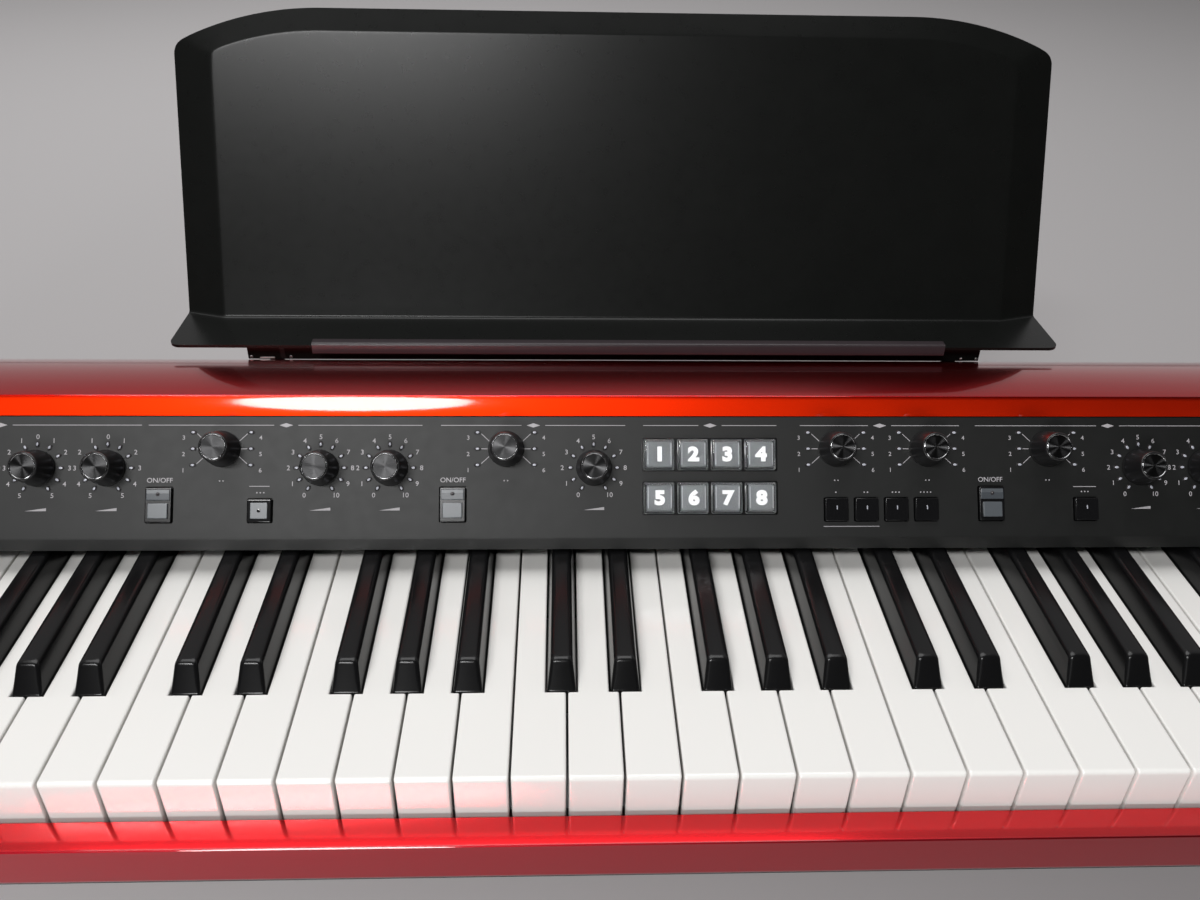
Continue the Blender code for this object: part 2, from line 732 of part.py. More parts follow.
def white_solids(index):
    """The solids of one white key: its body, its head, its front lip and its pivot boss."""
    middle = white_middle(index)
    half = (WHITE_PITCH - KEY_GAP) / 2
    left_black = black_middle(index - 1)
    right_black = black_middle(index)
    room = BLACK_WIDTH / 2 + BLACK_SIDE_GAP
    left = middle - half if left_black is None else left_black + room
    right = middle + half if right_black is None else right_black - room
    front = KEY_FRONT_Y
    notch = front + BLACK_FRONT - BLACK_SIDE_GAP
    tail_top = KEY_TOP_Z - WHITE_TAIL_DROP

    def plan(rear):
        outline = [(middle - half, front), (middle + half, front)]
        if right_black is not None:
            outline += [(middle + half, notch), (right, notch)]
        outline += [(right, rear), (left, rear)]
        if left_black is not None:
            outline += [(left, notch), (middle - half, notch)]
        return outline

    body = prism_z(plan(PIVOT_Y + WHITE_TAIL_END), KEY_UNDER_Z, tail_top)
    head = prism_z(plan(front + WHITE_STEP), tail_top - OVERLAP, KEY_TOP_Z)
    lip = box((middle - half, front, KEY_TOP_Z - KEY_LIP_DROP),
              (middle + half, front + KEY_LIP_THICKNESS, KEY_UNDER_Z + OVERLAP))
    boss = box((left, PIVOT_Y - BOSS_HALF_DEPTH, PIVOT_Z),
               (right, PIVOT_Y + BOSS_HALF_DEPTH, KEY_UNDER_Z + OVERLAP))
    return [body, head, lip, boss]


def black_solids(middle):
    """The solids of one black key: its body, its raised head, its tail and its pivot boss."""
    front = KEY_FRONT_Y + BLACK_FRONT
    step = KEY_FRONT_Y + WHITE_STEP
    rear = PIVOT_Y + BLACK_TAIL_END
    half = BLACK_WIDTH / 2
    tail_half = BLACK_TAIL_WIDTH / 2
    top_half = BLACK_TOP_WIDTH / 2
    body = box((middle - half, front, KEY_UNDER_Z), (middle + half, rear, KEY_TOP_Z))
    top = KEY_TOP_Z + BLACK_HEIGHT
    low = KEY_TOP_Z - OVERLAP / 2
    head = loft([
        [(middle - half, front, low), (middle + half, front, low),
         (middle + half, step, low), (middle - half, step, low)],
        [(middle - half, front, KEY_TOP_Z), (middle + half, front, KEY_TOP_Z),
         (middle + half, step, KEY_TOP_Z), (middle - half, step, KEY_TOP_Z)],
        [(middle - top_half, front + BLACK_SLOPE, top), (middle + top_half, front + BLACK_SLOPE, top),
         (middle + top_half, step, top), (middle - top_half, step, top)],
    ])
    tail = box((middle - tail_half, step - OVERLAP, low),
               (middle + tail_half, rear, KEY_TOP_Z + BLACK_TAIL_HEIGHT))
    boss = box((middle - half, PIVOT_Y - BOSS_HALF_DEPTH, PIVOT_Z),
               (middle + half, rear, KEY_UNDER_Z + OVERLAP))
    return [body, head, tail, boss]


def white_bar(first, last):
    """The bar that joins the tails of a bank of white keys."""
    half = (WHITE_PITCH - KEY_GAP) / 2
    low_z = KEY_TOP_Z - BANK_BAR_BELOW_TOP
    return box((white_middle(first) - half, PIVOT_Y + WHITE_BAR_FRONT, low_z),
               (white_middle(last) + half, PIVOT_Y + WHITE_TAIL_END, low_z + BANK_BAR_HEIGHT))


def black_bar(middles):
    """The bar that joins the tails of a bank of black keys."""
    low_z = KEY_TOP_Z + BLACK_BAR_LIFT
    return box((middles[0], PIVOT_Y - BLACK_BAR_FRONT, low_z),
               (middles[-1], PIVOT_Y + BLACK_BAR_REAR, KEY_TOP_Z + BLACK_TAIL_HEIGHT))


def make_keys(materials, root):
    """Three keys that move by themselves, and the others as banks, all on one rod."""
    pivot = (0.0, PIVOT_Y, PIVOT_Z)
    notch = rod_x(PIVOT_Y, PIVOT_Z, ROD_RADIUS + ROD_CLEARANCE, -CHEEK_INNER, CHEEK_INNER, NOTCH_SIDES)
    single_low = WHITE_MIDDLE - 1

    def add_keys(name, solids, material):
        add_piece(name, solids, material, root, origin=pivot, cuts=[notch])

    add_keys("white_key_d4", white_solids(single_low), materials["key_white"])
    add_keys("white_key_e4", white_solids(WHITE_MIDDLE), materials["key_white"])
    add_keys("black_key_d_sharp4", black_solids(black_middle(single_low)), materials["key_black"])
    for name, first, last in (
        ("keys_low", 0, single_low - 1),
        ("keys_high", WHITE_MIDDLE + 1, WHITE_COUNT - 1),
    ):
        solids = [white_bar(first, last)]
        for index in range(first, last + 1):
            solids += white_solids(index)
        add_keys("white_" + name, solids, materials["key_white"])
        middles = [black_middle(index) for index in range(first, last + 1)]
        middles = [middle for middle in middles if middle is not None]
        solids = [black_bar(middles)]
        for middle in middles:
            solids += black_solids(middle)
        add_keys("black_" + name, solids, materials["key_black"])


def button_places():
    """Every push button: its name, X, distance up the panel, hole and cap height."""
    places = []
    for name, x in SWITCHES.items():
        places.append((name, x, SWITCH_ROW, SWITCH_HOLE, SWITCH_CAP_HEIGHT))
    for name, x in SMALL_BUTTONS.items():
        places.append((name, x, SMALL_ROW, SMALL_HOLE, SMALL_CAP_HEIGHT))
    for row, height in enumerate(FAVOURITE_ROWS):
        for column in range(4):
            name = "favourite_button_%d" % (row * 4 + column + 1)
            x = FAVOURITE_MIDDLE_X + (column - 1.5) * FAVOURITE_PITCH
            places.append((name, x, height, FAVOURITE_HOLE, FAVOURITE_CAP_HEIGHT))
    return places


def function_places():
    """The four small function buttons' middles on the panel."""
    return [(x, SMALL_ROW) for x in FUNCTION_BUTTON_X]


def flange_width(hole):
    """The width of a button's flange, which stays clear of the next favourite."""
    if hole == FAVOURITE_HOLE:
        return FAVOURITE_PITCH - FAVOURITE_FLANGE_GAP
    return hole[0] + 2 * BUTTON_FLANGE_OVERLAP


def stem_end():
    """How deep a button's stem reaches at rest."""
    return -(BOARD_DEPTH - TACT_HEIGHT - BUTTON_TRAVEL - SEAM)


def make_button(name, x, row, hole, cap_height, material, panel):
    """A button: a cap in its hole, a flange under the panel and a stem."""
    cap = (hole[0] - 2 * BUTTON_CLEARANCE, hole[1] - 2 * BUTTON_CLEARANCE)
    flange = (flange_width(hole), hole[1] + 2 * BUTTON_FLANGE_OVERLAP)
    under = -PANEL_WALL - SEAM
    rings = [
        (cap[0] - 2 * BUTTON_EDGE, cap[1] - 2 * BUTTON_EDGE, cap_height),
        (cap[0], cap[1], cap_height - BUTTON_EDGE),
        (cap[0], cap[1], under),
        (flange[0], flange[1], under),
        (flange[0], flange[1], under - BUTTON_FLANGE),
        (BUTTON_STEM, BUTTON_STEM, under - BUTTON_FLANGE),
        (BUTTON_STEM, BUTTON_STEM, stem_end()),
    ]
    loops = [[(px, py, z) for px, py in rectangle(0, 0, width, depth)] for width, depth, z in rings]
    mesh = mesh_from(name, [loft(loops)])
    mesh.materials.append(material)
    add_object(name, mesh, panel, (x, row, 0.0))


def make_function_buttons(material, panel):
    """Four small caps on one springy strip under the panel."""
    under = -PANEL_WALL - SEAM
    middle = sum(FUNCTION_BUTTON_X) / len(FUNCTION_BUTTON_X)
    cap = (SMALL_HOLE[0] - 2 * BUTTON_CLEARANCE, SMALL_HOLE[1] - 2 * BUTTON_CLEARANCE)
    reach = FUNCTION_BUTTON_X[-1] - FUNCTION_BUTTON_X[0] + SMALL_HOLE[0] + 2 * BUTTON_FLANGE_OVERLAP
    strip = prism_z(rectangle(middle, SMALL_ROW, reach, SMALL_HOLE[1] + 2 * BUTTON_FLANGE_OVERLAP),
                    under - BUTTON_FLANGE, under)
    solids = [strip]
    for x, row in function_places():
        root_z = under - BUTTON_FLANGE / 2
        caps = [
            (cap[0], cap[1], root_z),
            (cap[0], cap[1], SMALL_CAP_HEIGHT - BUTTON_EDGE),
            (cap[0] - 2 * BUTTON_EDGE, cap[1] - 2 * BUTTON_EDGE, SMALL_CAP_HEIGHT),
        ]
        solids.append(loft([[(px, py, z) for px, py in rectangle(x, row, w, d)] for w, d, z in caps]))
        solids.append(prism_z(rectangle(x, row, BUTTON_STEM, BUTTON_STEM), stem_end(), root_z))
    add_piece("function_buttons", solids, material, panel, origin=(middle, SMALL_ROW, 0.0))


def make_knob(name, x, row, material, panel):
    """A tapered knob with its shaft down to the encoder."""
    profile = [
        (KNOB_TOP_RADIUS - KNOB_EDGE, KNOB_HEIGHT),
        (KNOB_TOP_RADIUS, KNOB_HEIGHT - KNOB_EDGE),
        (KNOB_BASE_RADIUS, KNOB_LIFT + KNOB_SKIRT),
        (KNOB_BASE_RADIUS, KNOB_LIFT),
        (SHAFT_RADIUS, KNOB_LIFT),
        (SHAFT_RADIUS, -(BOARD_DEPTH - ENCODER_HEIGHT - SEAM)),
    ]
    mesh = mesh_from(name, [turned(profile, KNOB_SIDES)])
    mesh.materials.append(material)
    mesh.shade_smooth()
    mesh.set_sharp_from_angle(angle=math.radians(40))
    add_object(name, mesh, panel, (x, row, 0.0))


def gimbal_half():
    """Half the gimbal's inner width."""
    return BALL_RADIUS + GIMBAL_CLEARANCE


def make_joystick(materials, panel):
    """The ball and stick, and the ring that carries them between two lugs."""
    pivot = (JOYSTICK_X, JOYSTICK_ROW, -JOYSTICK_PIVOT_DEPTH)
    profile = []
    neck = math.asin(STICK_RADIUS / BALL_RADIUS)
    lowest = math.pi - BALL_FLAT
    for i in range(BALL_STEPS + 1):
        turn = lowest - (lowest - neck) * i / BALL_STEPS
        profile.append((BALL_RADIUS * math.sin(turn), BALL_RADIUS * math.cos(turn)))
    top = JOYSTICK_PIVOT_DEPTH + STICK_LENGTH
    profile += [
        (STICK_RADIUS, top - STICK_GRIP_HEIGHT),
        (STICK_GRIP_RADIUS, top - STICK_GRIP_HEIGHT + STICK_GRIP_EDGE),
        (STICK_GRIP_RADIUS, top - STICK_GRIP_EDGE),
        (STICK_GRIP_RADIUS - STICK_GRIP_EDGE, top),
    ]
    mesh = mesh_from("joystick", [turned(profile, BALL_SIDES)])
    mesh.materials.append(materials["black_plastic"])
    mesh.shade_smooth()
    mesh.set_sharp_from_angle(angle=math.radians(40))
    add_object("joystick", mesh, panel, pivot)

    inner = gimbal_half()
    outer = inner + GIMBAL_WALL
    half = GIMBAL_THICKNESS / 2
    x, row, z = pivot
    ring = box((x - outer, row - outer, z - half), (x + outer, row + outer, z + half))
    pins = []
    for side in (-1, 1):
        ends = sorted((x + side * (outer - GIMBAL_WALL / 2), x + side * (outer + GIMBAL_PIN_LENGTH)))
        pins.append(rod_x(row, z, GIMBAL_PIN_RADIUS, ends[0], ends[1], GIMBAL_PIN_SIDES))
    hole = box((x - inner, row - inner, z - half - OVERLAP), (x + inner, row + inner, z + half + OVERLAP))
    add_piece("joystick_gimbal", [ring] + pins, materials["black_plastic"], panel, origin=pivot, cuts=[hole])


def make_panel(materials, root, panel):
    """The bent control panel with its holes, and the board of encoders and switches behind it."""
    lip = (PANEL_Y - PANEL_LIP_FORWARD, PANEL_Z - PANEL_LIP_DROP)
    outline = sheet([lip, (PANEL_Y, PANEL_Z), PANEL_TOP], PANEL_WALL)
    face = prism_x(outline, -BETWEEN_CHEEKS, BETWEEN_CHEEKS)
    mesh = mesh_from("control_panel", [face])
    mesh.materials.append(materials["panel_paint"])
    piece = add_object("control_panel", mesh, root)
    lug_inner = gimbal_half() + GIMBAL_WALL + GIMBAL_PIN_LENGTH + SEAM
    lugs = []
    for side in (-1, 1):
        ends = sorted((JOYSTICK_X + side * lug_inner, JOYSTICK_X + side * (lug_inner + LUG_THICKNESS)))
        lugs.append(box((ends[0], JOYSTICK_ROW - LUG_HALF, -LUG_DEPTH),
                        (ends[1], JOYSTICK_ROW + LUG_HALF, -PANEL_WALL / 2)))
    add_boolean(piece, add_cutter(piece, "_lugs", lugs, panel), "UNION")

    low = -PANEL_WALL - OVERLAP
    holes = [prism_z(circle(x, row, SHAFT_RADIUS + SHAFT_CLEARANCE, ROUND_SIDES), low, OVERLAP)
             for x, row in KNOBS.values()]
    holes += [prism_z(rectangle(x, row, *hole), low, OVERLAP) for _, x, row, hole, _ in button_places()]
    holes += [prism_z(rectangle(x, row, *SMALL_HOLE), low, OVERLAP) for x, row in function_places()]
    ball_reach = math.sqrt(BALL_RADIUS ** 2 - (JOYSTICK_PIVOT_DEPTH - PANEL_WALL) ** 2)
    ball_hole = circle(JOYSTICK_X, JOYSTICK_ROW, ball_reach + BALL_HOLE_CLEARANCE, BALL_HOLE_SIDES)
    holes.append(prism_z(ball_hole, low, OVERLAP))
    add_boolean(piece, add_cutter(piece, "_holes", holes, panel), "DIFFERENCE")

    xs = [x for x, _ in KNOBS.values()]
    board = box((min(xs) - BOARD_MARGIN, BOARD_LOW, -BOARD_DEPTH - BOARD_WALL),
                (max(xs) + BOARD_MARGIN, BOARD_HIGH, -BOARD_DEPTH))
    solids = [board]
    base = -BOARD_DEPTH - BOARD_WALL / 2
    for x, row in KNOBS.values():
        encoder = rectangle(x, row, ENCODER_SIZE, ENCODER_SIZE)
        solids.append(prism_z(encoder, base, ENCODER_HEIGHT - BOARD_DEPTH))
    tact_places = [(x, row) for _, x, row, _, _ in button_places()] + function_places()
    for x, row in tact_places:
        solids.append(prism_z(rectangle(x, row, TACT_SIZE, TACT_SIZE), base, TACT_HEIGHT - BOARD_DEPTH))
    for x in STANDOFF_X:
        for row in (BOARD_LOW + STANDOFF_SIZE / 2, BOARD_HIGH - STANDOFF_SIZE / 2):
            solids.append(prism_z(rectangle(x, row, STANDOFF_SIZE, STANDOFF_SIZE), base, -PANEL_WALL - SEAM))
    add_piece("panel_board", solids, materials["circuit_board"], panel)


def desk_outline(half_width, height, radius, corner):
    """The desk plate's outline from its lower left corner over the top to its lower right."""
    reach = half_width - corner - DESK_STRAIGHT_HALF
    small = radius - corner
    turn = math.asin(reach / small)
    centre_t = height - radius
    corner_t = centre_t + small * math.cos(turn)
    right = [(DESK_STRAIGHT_HALF, height)]
    for i in range(1, 5):
        a = turn * i / 4
        right.append((DESK_STRAIGHT_HALF + radius * math.sin(a), centre_t + radius * math.cos(a)))
    for i in range(1, 4):
        a = turn + (math.pi / 2 - turn) * i / 3
        right.append((half_width - corner + corner * math.sin(a), corner_t + corner * math.cos(a)))
    right.append((half_width, OVERLAP))
    return [(-x, t) for x, t in right[::-1]] + right


def make_desk(materials, root):
    """The music desk: a plate with a border bent back, a ledge, its edging and its bracket."""
    front_y, front_z = DESK_LEDGE_FRONT
    along = (math.cos(DESK_LEDGE_SLOPE), math.sin(DESK_LEDGE_SLOPE))
    fold = (front_y + DESK_LEDGE_DEPTH * along[0], front_z + DESK_LEDGE_DEPTH * along[1])
    up = (math.sin(DESK_TILT), math.cos(DESK_TILT))
    back = (math.cos(DESK_TILT), -math.sin(DESK_TILT))

    def on_plate(x, t, depth):
        return (DESK_X + x, fold[0] + t * up[0] + depth * back[0], fold[1] + t * up[1] + depth * back[1])

    inner = desk_outline(DESK_HALF_WIDTH - DESK_SIDE_BAND, DESK_HEIGHT - DESK_TOP_BAND,
                         DESK_ARC_RADIUS - DESK_TOP_BAND, DESK_CORNER / 2)
    outer = desk_outline(DESK_HALF_WIDTH, DESK_HEIGHT, DESK_ARC_RADIUS, DESK_CORNER)
    bend = math.tan(DESK_BAND_BEND)
    outer_depth = []
    for (xi, ti), (xo, to) in zip(inner, outer):
        outer_depth.append(math.hypot(xo - xi, to - ti) * bend)
    count = len(inner)
    points = [on_plate(x, t, 0.0) for x, t in inner]
    points += [on_plate(x, t, depth) for (x, t), depth in zip(outer, outer_depth)]
    points += [on_plate(x, t, DESK_WALL) for x, t in inner]
    points += [on_plate(x, t, depth + DESK_WALL) for (x, t), depth in zip(outer, outer_depth)]
    faces = [tuple(range(count)), tuple(range(2 * count, 3 * count))[::-1]]
    for i in range(count - 1):
        faces.append((i, i + 1, count + i + 1, count + i))
        faces.append((2 * count + i, 2 * count + i + 1, 3 * count + i + 1, 3 * count + i))
        faces.append((count + i, count + i + 1, 3 * count + i + 1, 3 * count + i))
    last = count - 1
    faces.append((0, count, 3 * count, 2 * count))
    faces.append((last, count + last, 3 * count + last, 2 * count + last))
    faces.append((0, last, 2 * count + last, 2 * count))
    plate = (points, faces)

    ledge_outline = [
        (-DESK_HALF_WIDTH, DESK_LEDGE_DEPTH + LEDGE_INTO_PLATE),
        (-DESK_HALF_WIDTH, LEDGE_CORNER),
        (-DESK_HALF_WIDTH + LEDGE_CORNER * CORNER_SHARE, LEDGE_CORNER * CORNER_SHARE),
        (-DESK_HALF_WIDTH + LEDGE_CORNER, 0.0),
        (DESK_HALF_WIDTH - LEDGE_CORNER, 0.0),
        (DESK_HALF_WIDTH - LEDGE_CORNER * CORNER_SHARE, LEDGE_CORNER * CORNER_SHARE),
        (DESK_HALF_WIDTH, LEDGE_CORNER),
        (DESK_HALF_WIDTH, DESK_LEDGE_DEPTH + LEDGE_INTO_PLATE),
    ]
    loops = []
    for drop in (-DESK_WALL, 0.0):
        loops.append([
            (DESK_X + x, front_y + d * along[0] - drop * along[1], front_z + d * along[1] + drop * along[0])
            for x, d in ledge_outline
        ])
    reach = DESK_HALF_WIDTH - DESK_SIDE_BAND
    fold_strip = loft([
        [on_plate(x, t, depth) for x, t in (
            (-reach, -DESK_WALL / 2), (reach, -DESK_WALL / 2), (reach, 2 * OVERLAP), (-reach, 2 * OVERLAP))]
        for depth in (DESK_WALL * 0.1, DESK_WALL * 0.9)
    ])
    add_piece("music_desk", [plate, loft(loops), fold_strip], materials["black_coat"], root)

    strip_y = front_y - STRIP_OUT
    middle_z = front_z - DESK_WALL / 2
    slot = DESK_WALL / 2 + STRIP_CLEARANCE
    low = middle_z - STRIP_HEIGHT / 2
    high = middle_z + STRIP_HEIGHT / 2
    strip = [
        (strip_y, low), (strip_y + STRIP_DEPTH, low), (strip_y + STRIP_DEPTH, middle_z - slot),
        (front_y - SEAM, middle_z - slot), (front_y - SEAM, middle_z + slot),
        (strip_y + STRIP_DEPTH, middle_z + slot), (strip_y + STRIP_DEPTH, high), (strip_y, high),
    ]
    edging = prism_x(strip, DESK_X + STRIP_SPAN[0], DESK_X + STRIP_SPAN[1])
    add_piece("desk_edge_strip", [edging], materials["grey_rubber"], root)
    make_bracket(materials, root, along)


def bracket_pin_x():
    """The X of the bracket's two pins."""
    low, high = BRACKET_SPAN
    return DESK_X + low + BRACKET_PIN_INSET, DESK_X + high - BRACKET_PIN_INSET


def bracket_pin_y():
    """The Y of the bracket's two pins."""
    return DESK_LEDGE_FRONT[0] + BRACKET_FRONT + BRACKET_PIN_BACK


def make_bracket(materials, root, along):
    """The folded bracket under the ledge, with two pins that drop into the shell."""
    front_y, front_z = DESK_LEDGE_FRONT
    start = front_y + BRACKET_FRONT
    under = DESK_WALL + SEAM

    def below_ledge(y):
        return front_z + (y - front_y) * along[1] / along[0] - under / along[0]

    line = [(start + BRACKET_TOP_DEPTH, below_ledge(start + BRACKET_TOP_DEPTH)), (start, below_ledge(start))]
    steps = 4
    for i in range(steps + 1):
        y = start + BRACKET_FOOT_DEPTH * i / steps
        line.append((y, shell_height(y) + BRACKET_LIFT))
    outline = line + offset_points(line, -BRACKET_WALL, closed=False)[::-1]
    folded = prism_x(outline, DESK_X + BRACKET_SPAN[0], DESK_X + BRACKET_SPAN[1])
    pins = []
    pin_y = bracket_pin_y()
    top = shell_height(pin_y) + BRACKET_LIFT + BRACKET_WALL
    for x in bracket_pin_x():
        pins.append(prism_z(circle(x, pin_y, BRACKET_PIN_RADIUS, ROUND_SIDES), top - BRACKET_PIN_DROP, top))
    add_piece("stand_bracket", [folded] + pins, materials["black_coat"], root)


def main():
    """Build every piece."""
    clear_scene()
    materials = {
        "red_paint": make_material("red_paint", (0.42, 0.008, 0.012), 0.22, 0.55),
        "black_steel": make_material("black_steel", (0.03, 0.03, 0.032), 0.55, 0.4),
        "black_coat": make_material("black_coat", (0.018, 0.019, 0.019), 0.5, 0.3),
        "panel_paint": make_material("panel_paint", (0.045, 0.047, 0.048), 0.45, 0.2),
        "key_white": make_material("key_white", (0.86, 0.85, 0.84), 0.2),
        "key_black": make_material("key_black", (0.012, 0.012, 0.013), 0.15),
        "black_plastic": make_material("black_plastic", (0.015, 0.015, 0.016), 0.35),
        "smoke_plastic": make_material("smoke_plastic", (0.16, 0.18, 0.2), 0.25),
        "zinc_steel": make_material("zinc_steel", (0.55, 0.56, 0.57), 0.35, 0.9),
        "circuit_board": make_material("circuit_board", (0.02, 0.12, 0.05), 0.5),
        "grey_rubber": make_material("grey_rubber", (0.16, 0.15, 0.155), 0.5),
        "rubber": make_material("rubber", (0.02, 0.02, 0.02), 0.8),
    }
    root = bpy.data.objects.new("stage_piano", None)
    bpy.context.scene.collection.objects.link(root)
    panel = bpy.data.objects.new("panel_plane", None)
    bpy.context.scene.collection.objects.link(panel)
    panel.parent = root
    panel.location = (0.0, PANEL_Y * MM, PANEL_Z * MM)
    panel.rotation_euler = (PANEL_TILT, 0.0, 0.0)

    make_casework(materials, root)
    make_jack_board(materials, root)
    make_keybed(materials, root)
    make_keys(materials, root)
    make_panel(materials, root, panel)
    for name, (x, row) in KNOBS.items():
        make_knob(name, x, row, materials["black_plastic"], panel)
    for name, x, row, hole, cap_height in button_places():
        glossy = hole == SMALL_HOLE
        material = materials["black_plastic"] if glossy else materials["smoke_plastic"]
        make_button(name, x, row, hole, cap_height, material, panel)
    make_function_buttons(materials["black_plastic"], panel)
    make_joystick(materials, panel)
    make_desk(materials, root)


main()
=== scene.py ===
"""Stage piano with 73 keys: its finishes and fine surfaces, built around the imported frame.

Lengths are in millimetres and become metres when a mesh is made. X runs to the player's
right, +Y to the rear and +Z up. Each sub-assembly is a class that holds its sizes, and
each finish is a frozen dataclass. A surface is worked out as whole arrays: a shape over a
grid of two parameters, or a profile carried along a path.
"""
import json
import logging
import math
from dataclasses import dataclass, field
from enum import Enum
from typing import Callable, Iterable, Optional, Sequence, Union

import bmesh
import bpy
import numpy as np
from mathutils import Matrix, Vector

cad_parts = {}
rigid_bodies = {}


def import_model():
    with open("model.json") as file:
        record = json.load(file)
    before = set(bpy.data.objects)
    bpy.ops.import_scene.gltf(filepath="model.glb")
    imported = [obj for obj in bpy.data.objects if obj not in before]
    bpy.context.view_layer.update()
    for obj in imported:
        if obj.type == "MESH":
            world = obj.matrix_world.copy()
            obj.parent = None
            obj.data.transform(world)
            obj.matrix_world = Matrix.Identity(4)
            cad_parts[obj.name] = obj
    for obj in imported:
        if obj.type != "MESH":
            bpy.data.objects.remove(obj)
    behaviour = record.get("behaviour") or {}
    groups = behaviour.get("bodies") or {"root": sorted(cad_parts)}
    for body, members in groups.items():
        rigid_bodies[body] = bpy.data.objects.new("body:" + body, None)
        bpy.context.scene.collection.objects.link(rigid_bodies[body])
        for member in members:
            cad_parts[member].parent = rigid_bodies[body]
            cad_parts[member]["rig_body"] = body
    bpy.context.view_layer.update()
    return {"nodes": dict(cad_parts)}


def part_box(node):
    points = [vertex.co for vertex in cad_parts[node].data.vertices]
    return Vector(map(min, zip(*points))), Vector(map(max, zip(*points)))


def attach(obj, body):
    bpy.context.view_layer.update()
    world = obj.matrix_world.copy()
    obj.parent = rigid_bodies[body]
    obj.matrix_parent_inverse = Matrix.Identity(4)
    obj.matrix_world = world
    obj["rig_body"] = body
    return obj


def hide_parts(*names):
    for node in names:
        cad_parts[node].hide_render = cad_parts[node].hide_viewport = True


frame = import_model()

MM = 0.001
CABINET = "cabinet"
DESK_UNIT = "music_desk_unit"
CREASE = 32.0
FEET = ("front_left_foot", "front_right_foot", "rear_left_foot", "rear_right_foot")
# Rows that map a piece's own axes, so that its third axis points out of a face.
OUT_OF_REAR = [[-1, 0, 0], [0, 0, 1], [0, 1, 0]]
OUT_OF_FRONT = [[1, 0, 0], [0, 0, -1], [0, 1, 0]]
OUT_OF_BASE = [[1, 0, 0], [0, -1, 0], [0, 0, -1]]
ON_EDGE = [[1, 0, 0], [0, 0, 1], [0, 1, 0]]
Array = np.ndarray
Colour = tuple[float, float, float]
log = logging.getLogger("stage_piano")


class Slot(str, Enum):
    """The record's material slots."""

    RED = "red_paint"
    STEEL = "black_steel"
    COAT = "black_coat"
    PANEL = "panel_paint"
    WHITE_KEY = "key_white"
    BLACK_KEY = "key_black"
    PLASTIC = "black_plastic"
    SMOKE = "smoke_plastic"
    ZINC = "zinc_steel"
    BOARD = "circuit_board"
    EDGING = "grey_rubber"
    RUBBER = "rubber"


class Side(Enum):
    """The two ends of the piano, as the sign of X."""

    LEFT = -1
    RIGHT = 1


@dataclass
class Surface:
    """A mesh before it becomes a piece: points, four-sided faces and many-sided faces."""

    points: Array
    quads: Array
    caps: list[tuple[int, ...]] = field(default_factory=list)

    def moved(self, offset: Sequence[float]) -> "Surface":
        """The same surface, shifted."""
        return Surface(self.points + np.asarray(offset, float), self.quads, self.caps)

    def mapped(self, matrix: Array, offset: Sequence[float]) -> "Surface":
        """The same surface after a linear map and a shift, kept facing outwards.

        Args:
            matrix: Three rows that turn a point.
            offset: The shift after it.

        Returns:
            The mapped surface.
        """
        moved = Surface(self.points @ np.asarray(matrix, float).T + np.asarray(offset, float),
                        self.quads, self.caps)
        return moved.outward()

    def volume(self) -> float:
        """The signed volume: a sum of corner products over the faces, positive if they face out."""
        total = 0.0
        if len(self.quads):
            a, b, c, d = (self.points[self.quads[:, k]] for k in range(4))
            total += np.einsum("ij,ij->", a, np.cross(b, c)) + np.einsum("ij,ij->", a, np.cross(c, d))
        for cap in self.caps:
            ring = self.points[list(cap)]
            first = np.broadcast_to(ring[0], ring[1:-1].shape)
            total += np.einsum("ij,ij->", first, np.cross(ring[1:-1], ring[2:]))
        return float(total)

    def outward(self) -> "Surface":
        """The surface with every face turned round if its volume is negative."""
        if self.volume() >= 0.0:
            return self
        return Surface(self.points, self.quads[:, ::-1], [cap[::-1] for cap in self.caps])


def joined(parts: Iterable[Surface]) -> Surface:
    """Several surfaces as one, each kept as it is.

    Args:
        parts: The surfaces.

    Returns:
        One surface that holds them all.
    """
    points: list[Array] = []
    quads: list[Array] = []
    caps: list[tuple[int, ...]] = []
    start = 0
    for part in parts:
        points.append(part.points)
        quads.append(part.quads + start)
        caps += [tuple(index + start for index in cap) for cap in part.caps]
        start += len(part.points)
    return Surface(np.concatenate(points), np.concatenate(quads), caps)


def lattice(rows: int, columns: int, wrap: bool) -> Array:
    """The four-sided faces of a grid of points.

    Args:
        rows: How many rows of points there are.
        columns: How many points a row has.
        wrap: True if each row closes on itself.

    Returns:
        An array with four point numbers for each face.
    """
    row = np.arange(rows - 1)[:, None]
    column = np.arange(columns if wrap else columns - 1)[None, :]
    after = (column + 1) % columns
    corners = (row * columns + column, row * columns + after,
               (row + 1) * columns + after, (row + 1) * columns + column)
    return np.stack([np.broadcast_to(c, (rows - 1, column.shape[1])) for c in corners], -1).reshape(-1, 4)


def loft(rings: Array) -> Surface:
    """A closed skin through rings of points, with a flat cap on the first and the last.

    Args:
        rings: An array of rings, points and coordinates.

    Returns:
        The skin, facing outwards.
    """
    rows, columns = rings.shape[:2]
    caps = [tuple(range(columns))[::-1], tuple(range((rows - 1) * columns, rows * columns))]
    return Surface(rings.reshape(-1, 3).astype(float), lattice(rows, columns, True), caps).outward()


def turned(profile: Array, sides: int) -> Surface:
    """A solid of revolution about the third axis.

    Each point is (radius times cosine, radius times sine, height) over a grid of profile
    points and angles.

    Args:
        profile: Rows of radius and height, from one pole to the other.
        sides: How many points go round.

    Returns:
        The solid.
    """
    profile = np.asarray(profile, float)
    angle = 2 * math.pi * np.arange(sides) / sides
    radius = np.maximum(profile[:, 0], 1e-4)[:, None]
    height = np.broadcast_to(profile[:, 1][:, None], (len(profile), sides))
    return loft(np.stack([radius * np.cos(angle), radius * np.sin(angle), height], -1))


